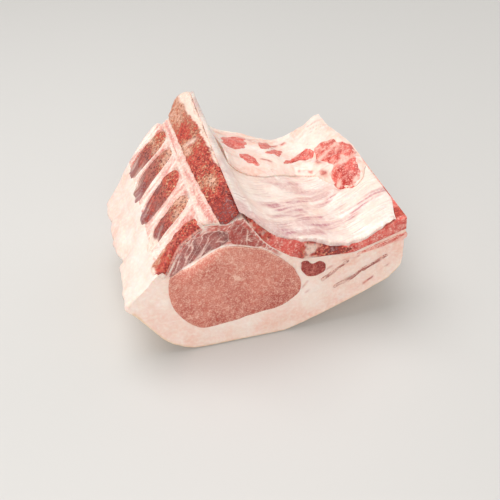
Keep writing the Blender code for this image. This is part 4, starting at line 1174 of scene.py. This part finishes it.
def rim_height(x, y):
    """Height of the flap's upper side: low at its front edge, full behind it, low again at the back."""
    front = flap_front(x)
    share = np.clip((y - front) / (LENGTH - front), 0, 1)
    back = 2.5 + 5.0 * hump(x - 114, 16)
    thick = FLAP * (0.16 + 0.84 * np.sin(0.5 * math.pi * np.minimum(1.0, share / 0.24)))
    thick = thick + (back - FLAP) * past(share, 0.2, 0.8)
    edge = 1.0 - 0.6 * past(x, 48, -6) - 0.4 * past(x, 134, 6)
    waves = 1.0 * grain(x, y, 11, 8) + 0.6 * grain(x, y, 5, 9) + 0.7 * near_lines(x, y, PAINTED_MEAT)
    long_wave = 0.7 * np.sin(0.16 * x + 4 * share) * share
    return inner_height(x, RIM_FLOOR) + thick * edge + long_wave + waves * smooth(share / 0.1)


x = np.linspace(inner_line(RIM_FLOOR)[len(RIDGE_SIDE) + 1, 0], FLAP_END, 150)[:, None]
share = np.linspace(0, 1, 112)[None] ** 1.25
y = flap_front(x) + (LENGTH - flap_front(x)) * share
top = bend(x, y, rim_height(x, y))
base = bend(x, y, inner_height(x, RIM_FLOOR - 0.6))
rosy = 0.35 * smooth(0.1 + 1.4 * grain(x, y, 7, 2)) + 0.25 * smooth(1 - share / 0.1)
rosy = rosy + 0.6 * smooth(2.2 * stretched(x + 0.4 * y, y - 0.4 * x, 17, 3.2, 7)) * smooth(0.4 + grain(x, y, 13, 6))
bits = near_lines(x, y, PAINTED_MEAT) * smooth(0.7 + grain(x, y, 3, 3))
seams = 0.5 * hump(stretched(x, y + 0.3 * x, 14, 4, 3), 0.09) * smooth(0.2 + grain(x, y, 14, 4))
build("rim_fat_flap", shell(top, base), fat_white, ["rim_fat"],
      {"deep": [rosy, 0.0], "lean": [np.clip(0.9 * bits + seams, 0, 1), 0.0]})

# %% Red meat in the flap
ROOT = 2.0  # how far a bit of meat goes down into the flap


def patch(name, outline, dome, material, paint):
    """A dome of meat on the flap: rings that shrink to its middle, over the same rings farther down."""
    loop = rounded(outline, 180)
    loop = ragged(loop + 1.2 * outward(loop), 1.0, 3.2)
    loop[:, 0] = np.minimum(loop[:, 0], FLAP_END - 0.6)
    flat, share = rings(loop, 26, 1.2)
    x, y = flat[..., 0], flat[..., 1]
    height = rim_height(x, y) - 0.4 + dome * (1 - share**3) ** 0.7 + 0.25 * dome * grain(x, y, 4) * (1 - share**4)
    wall = np.stack([height[0], height[0] - ROOT])
    under, shrink = rings(loop, 3)
    level = height[0].mean()
    grids = [bend(x, y, height), bend(loop[:, 0], loop[:, 1], wall),
             bend(under[..., 0], under[..., 1], level - ROOT + (height[0] - level) * shrink)]
    values = {key: [wrapped(np.broadcast_to(value, x.shape)), 0.0] for key, value in paint(x, y, share).items()}
    build(name, [wrapped(grid) for grid in grids], material, [name.replace("_patch", "")], values)


def patch_paint(x, y, share):
    """Fat creeps over the edge of the meat in a ragged line, and between its fibres."""
    creeping = smooth((share + 0.4 * grain(x, y, 2.6, 1) - 0.88) / 0.2)
    fibres = smooth(2 * stretched(x + 0.7 * y, y - 0.7 * x, 10, 1.3, 4))
    return {"pale": np.clip(0.75 * creeping + 0.12 * fibres, 0, 0.85), "deep": 0.45 * smooth(grain(x, y, 6, 5))}


def diaphragm_paint(x, y, share):
    """Bundles of red fibre in lobes, with fat between and on them, and a dark lobe in front."""
    fibres = stretched(y + 0.5 * x, x - 0.4 * y, 12, 1.6, 6)
    between = near_line(x, y, [(119, 76), (126, 74), (135, 73)], 2.0) + near_line(x, y, [(116, 93), (131, 97)], 1.8)
    spots = smooth(-0.25 + 2.0 * grain(x, y, 3.0, 5))
    front = past(y, 76, -8)
    creeping = smooth((share + 0.35 * grain(x, y, 2.6, 1) - 0.84) / 0.22)
    pale = 0.25 * smooth(2 * fibres) * (1 - front) + 0.75 * between + 0.65 * spots + 0.5 * creeping
    return {"pale": np.clip(pale, 0, 0.9),
            "deep": front * smooth((68 - y) / 8 + 0.8 * grain(x, y, 4)) + 0.3 * smooth(-2 * fibres)}


for name, outline in RIM_MEAT.items():
    patch(name + "_patch", outline, 0.6, bright_red, patch_paint)
patch("diaphragm_patch", DIAPHRAGM, 2.2, bright_red, diaphragm_paint)
print(len(RIM_MEAT), "bits of meat and the diaphragm")

# %% [markdown]
# ## Floor, light and camera
# A pale floor and large, soft lamps show the piece as in a studio. The camera stands to the left of the front cut
# and looks down at the angle of a person at a table; its lens is set for a square picture.

# %% Stage
FLOOR_HALF, FLOOR_LEVEL = 3.0, -0.0006
stone = new_material("pale_floor", 0.7, Base_Color=linear("#cfcdca"))
floor_mesh = bpy.data.meshes.new("floor")
corners = [(x * FLOOR_HALF, y * FLOOR_HALF, FLOOR_LEVEL) for x, y in ((-1, -1), (1, -1), (1, 1), (-1, 1))]
floor_mesh.from_pydata(corners, [], [(0, 1, 2, 3)])
floor_mesh.materials.append(stone)
floor = bpy.data.objects.new("floor", floor_mesh)
bpy.context.collection.objects.link(floor)


def lamp(name, place, size, watts):
    """A square soft lamp that faces the middle of the floor."""
    data = bpy.data.lights.new(name, "AREA")
    data.size, data.energy = size, watts
    made = bpy.data.objects.new(name, data)
    made.location = place
    made.rotation_euler = made.location.to_track_quat("Z", "Y").to_euler()
    bpy.context.collection.objects.link(made)


lamp("key", (-0.28, 0.2, 1.2), 0.9, 11)
lamp("front", (-0.45, -1.1, 0.75), 1.0, 9.5)
lamp("fill", (1.1, 0.45, 0.4), 0.9, 2.5)
world = bpy.data.worlds.new("studio")
world.use_nodes = True
world.node_tree.nodes["Background"].inputs["Color"].default_value = linear("#f4f2ee")
world.node_tree.nodes["Background"].inputs["Strength"].default_value = 0.45
bpy.context.scene.world = world
bpy.context.scene.view_settings.view_transform = "Standard"

CAMERA = np.array([-49.16, -321.73, 376.25])  # in the block's own millimetres
camera_data = bpy.data.cameras.new("camera")
camera_data.lens = 51.43
camera_data.sensor_width = 36.0
camera = bpy.data.objects.new("camera", camera_data)
camera.location = (CAMERA - SHIFT) / 1000
camera.rotation_euler = (math.radians(90 - 41.5), 0.0, math.radians(-15.0))
bpy.context.collection.objects.link(camera)
bpy.context.scene.camera = camera
print("camera at", [round(v, 3) for v in camera.location])
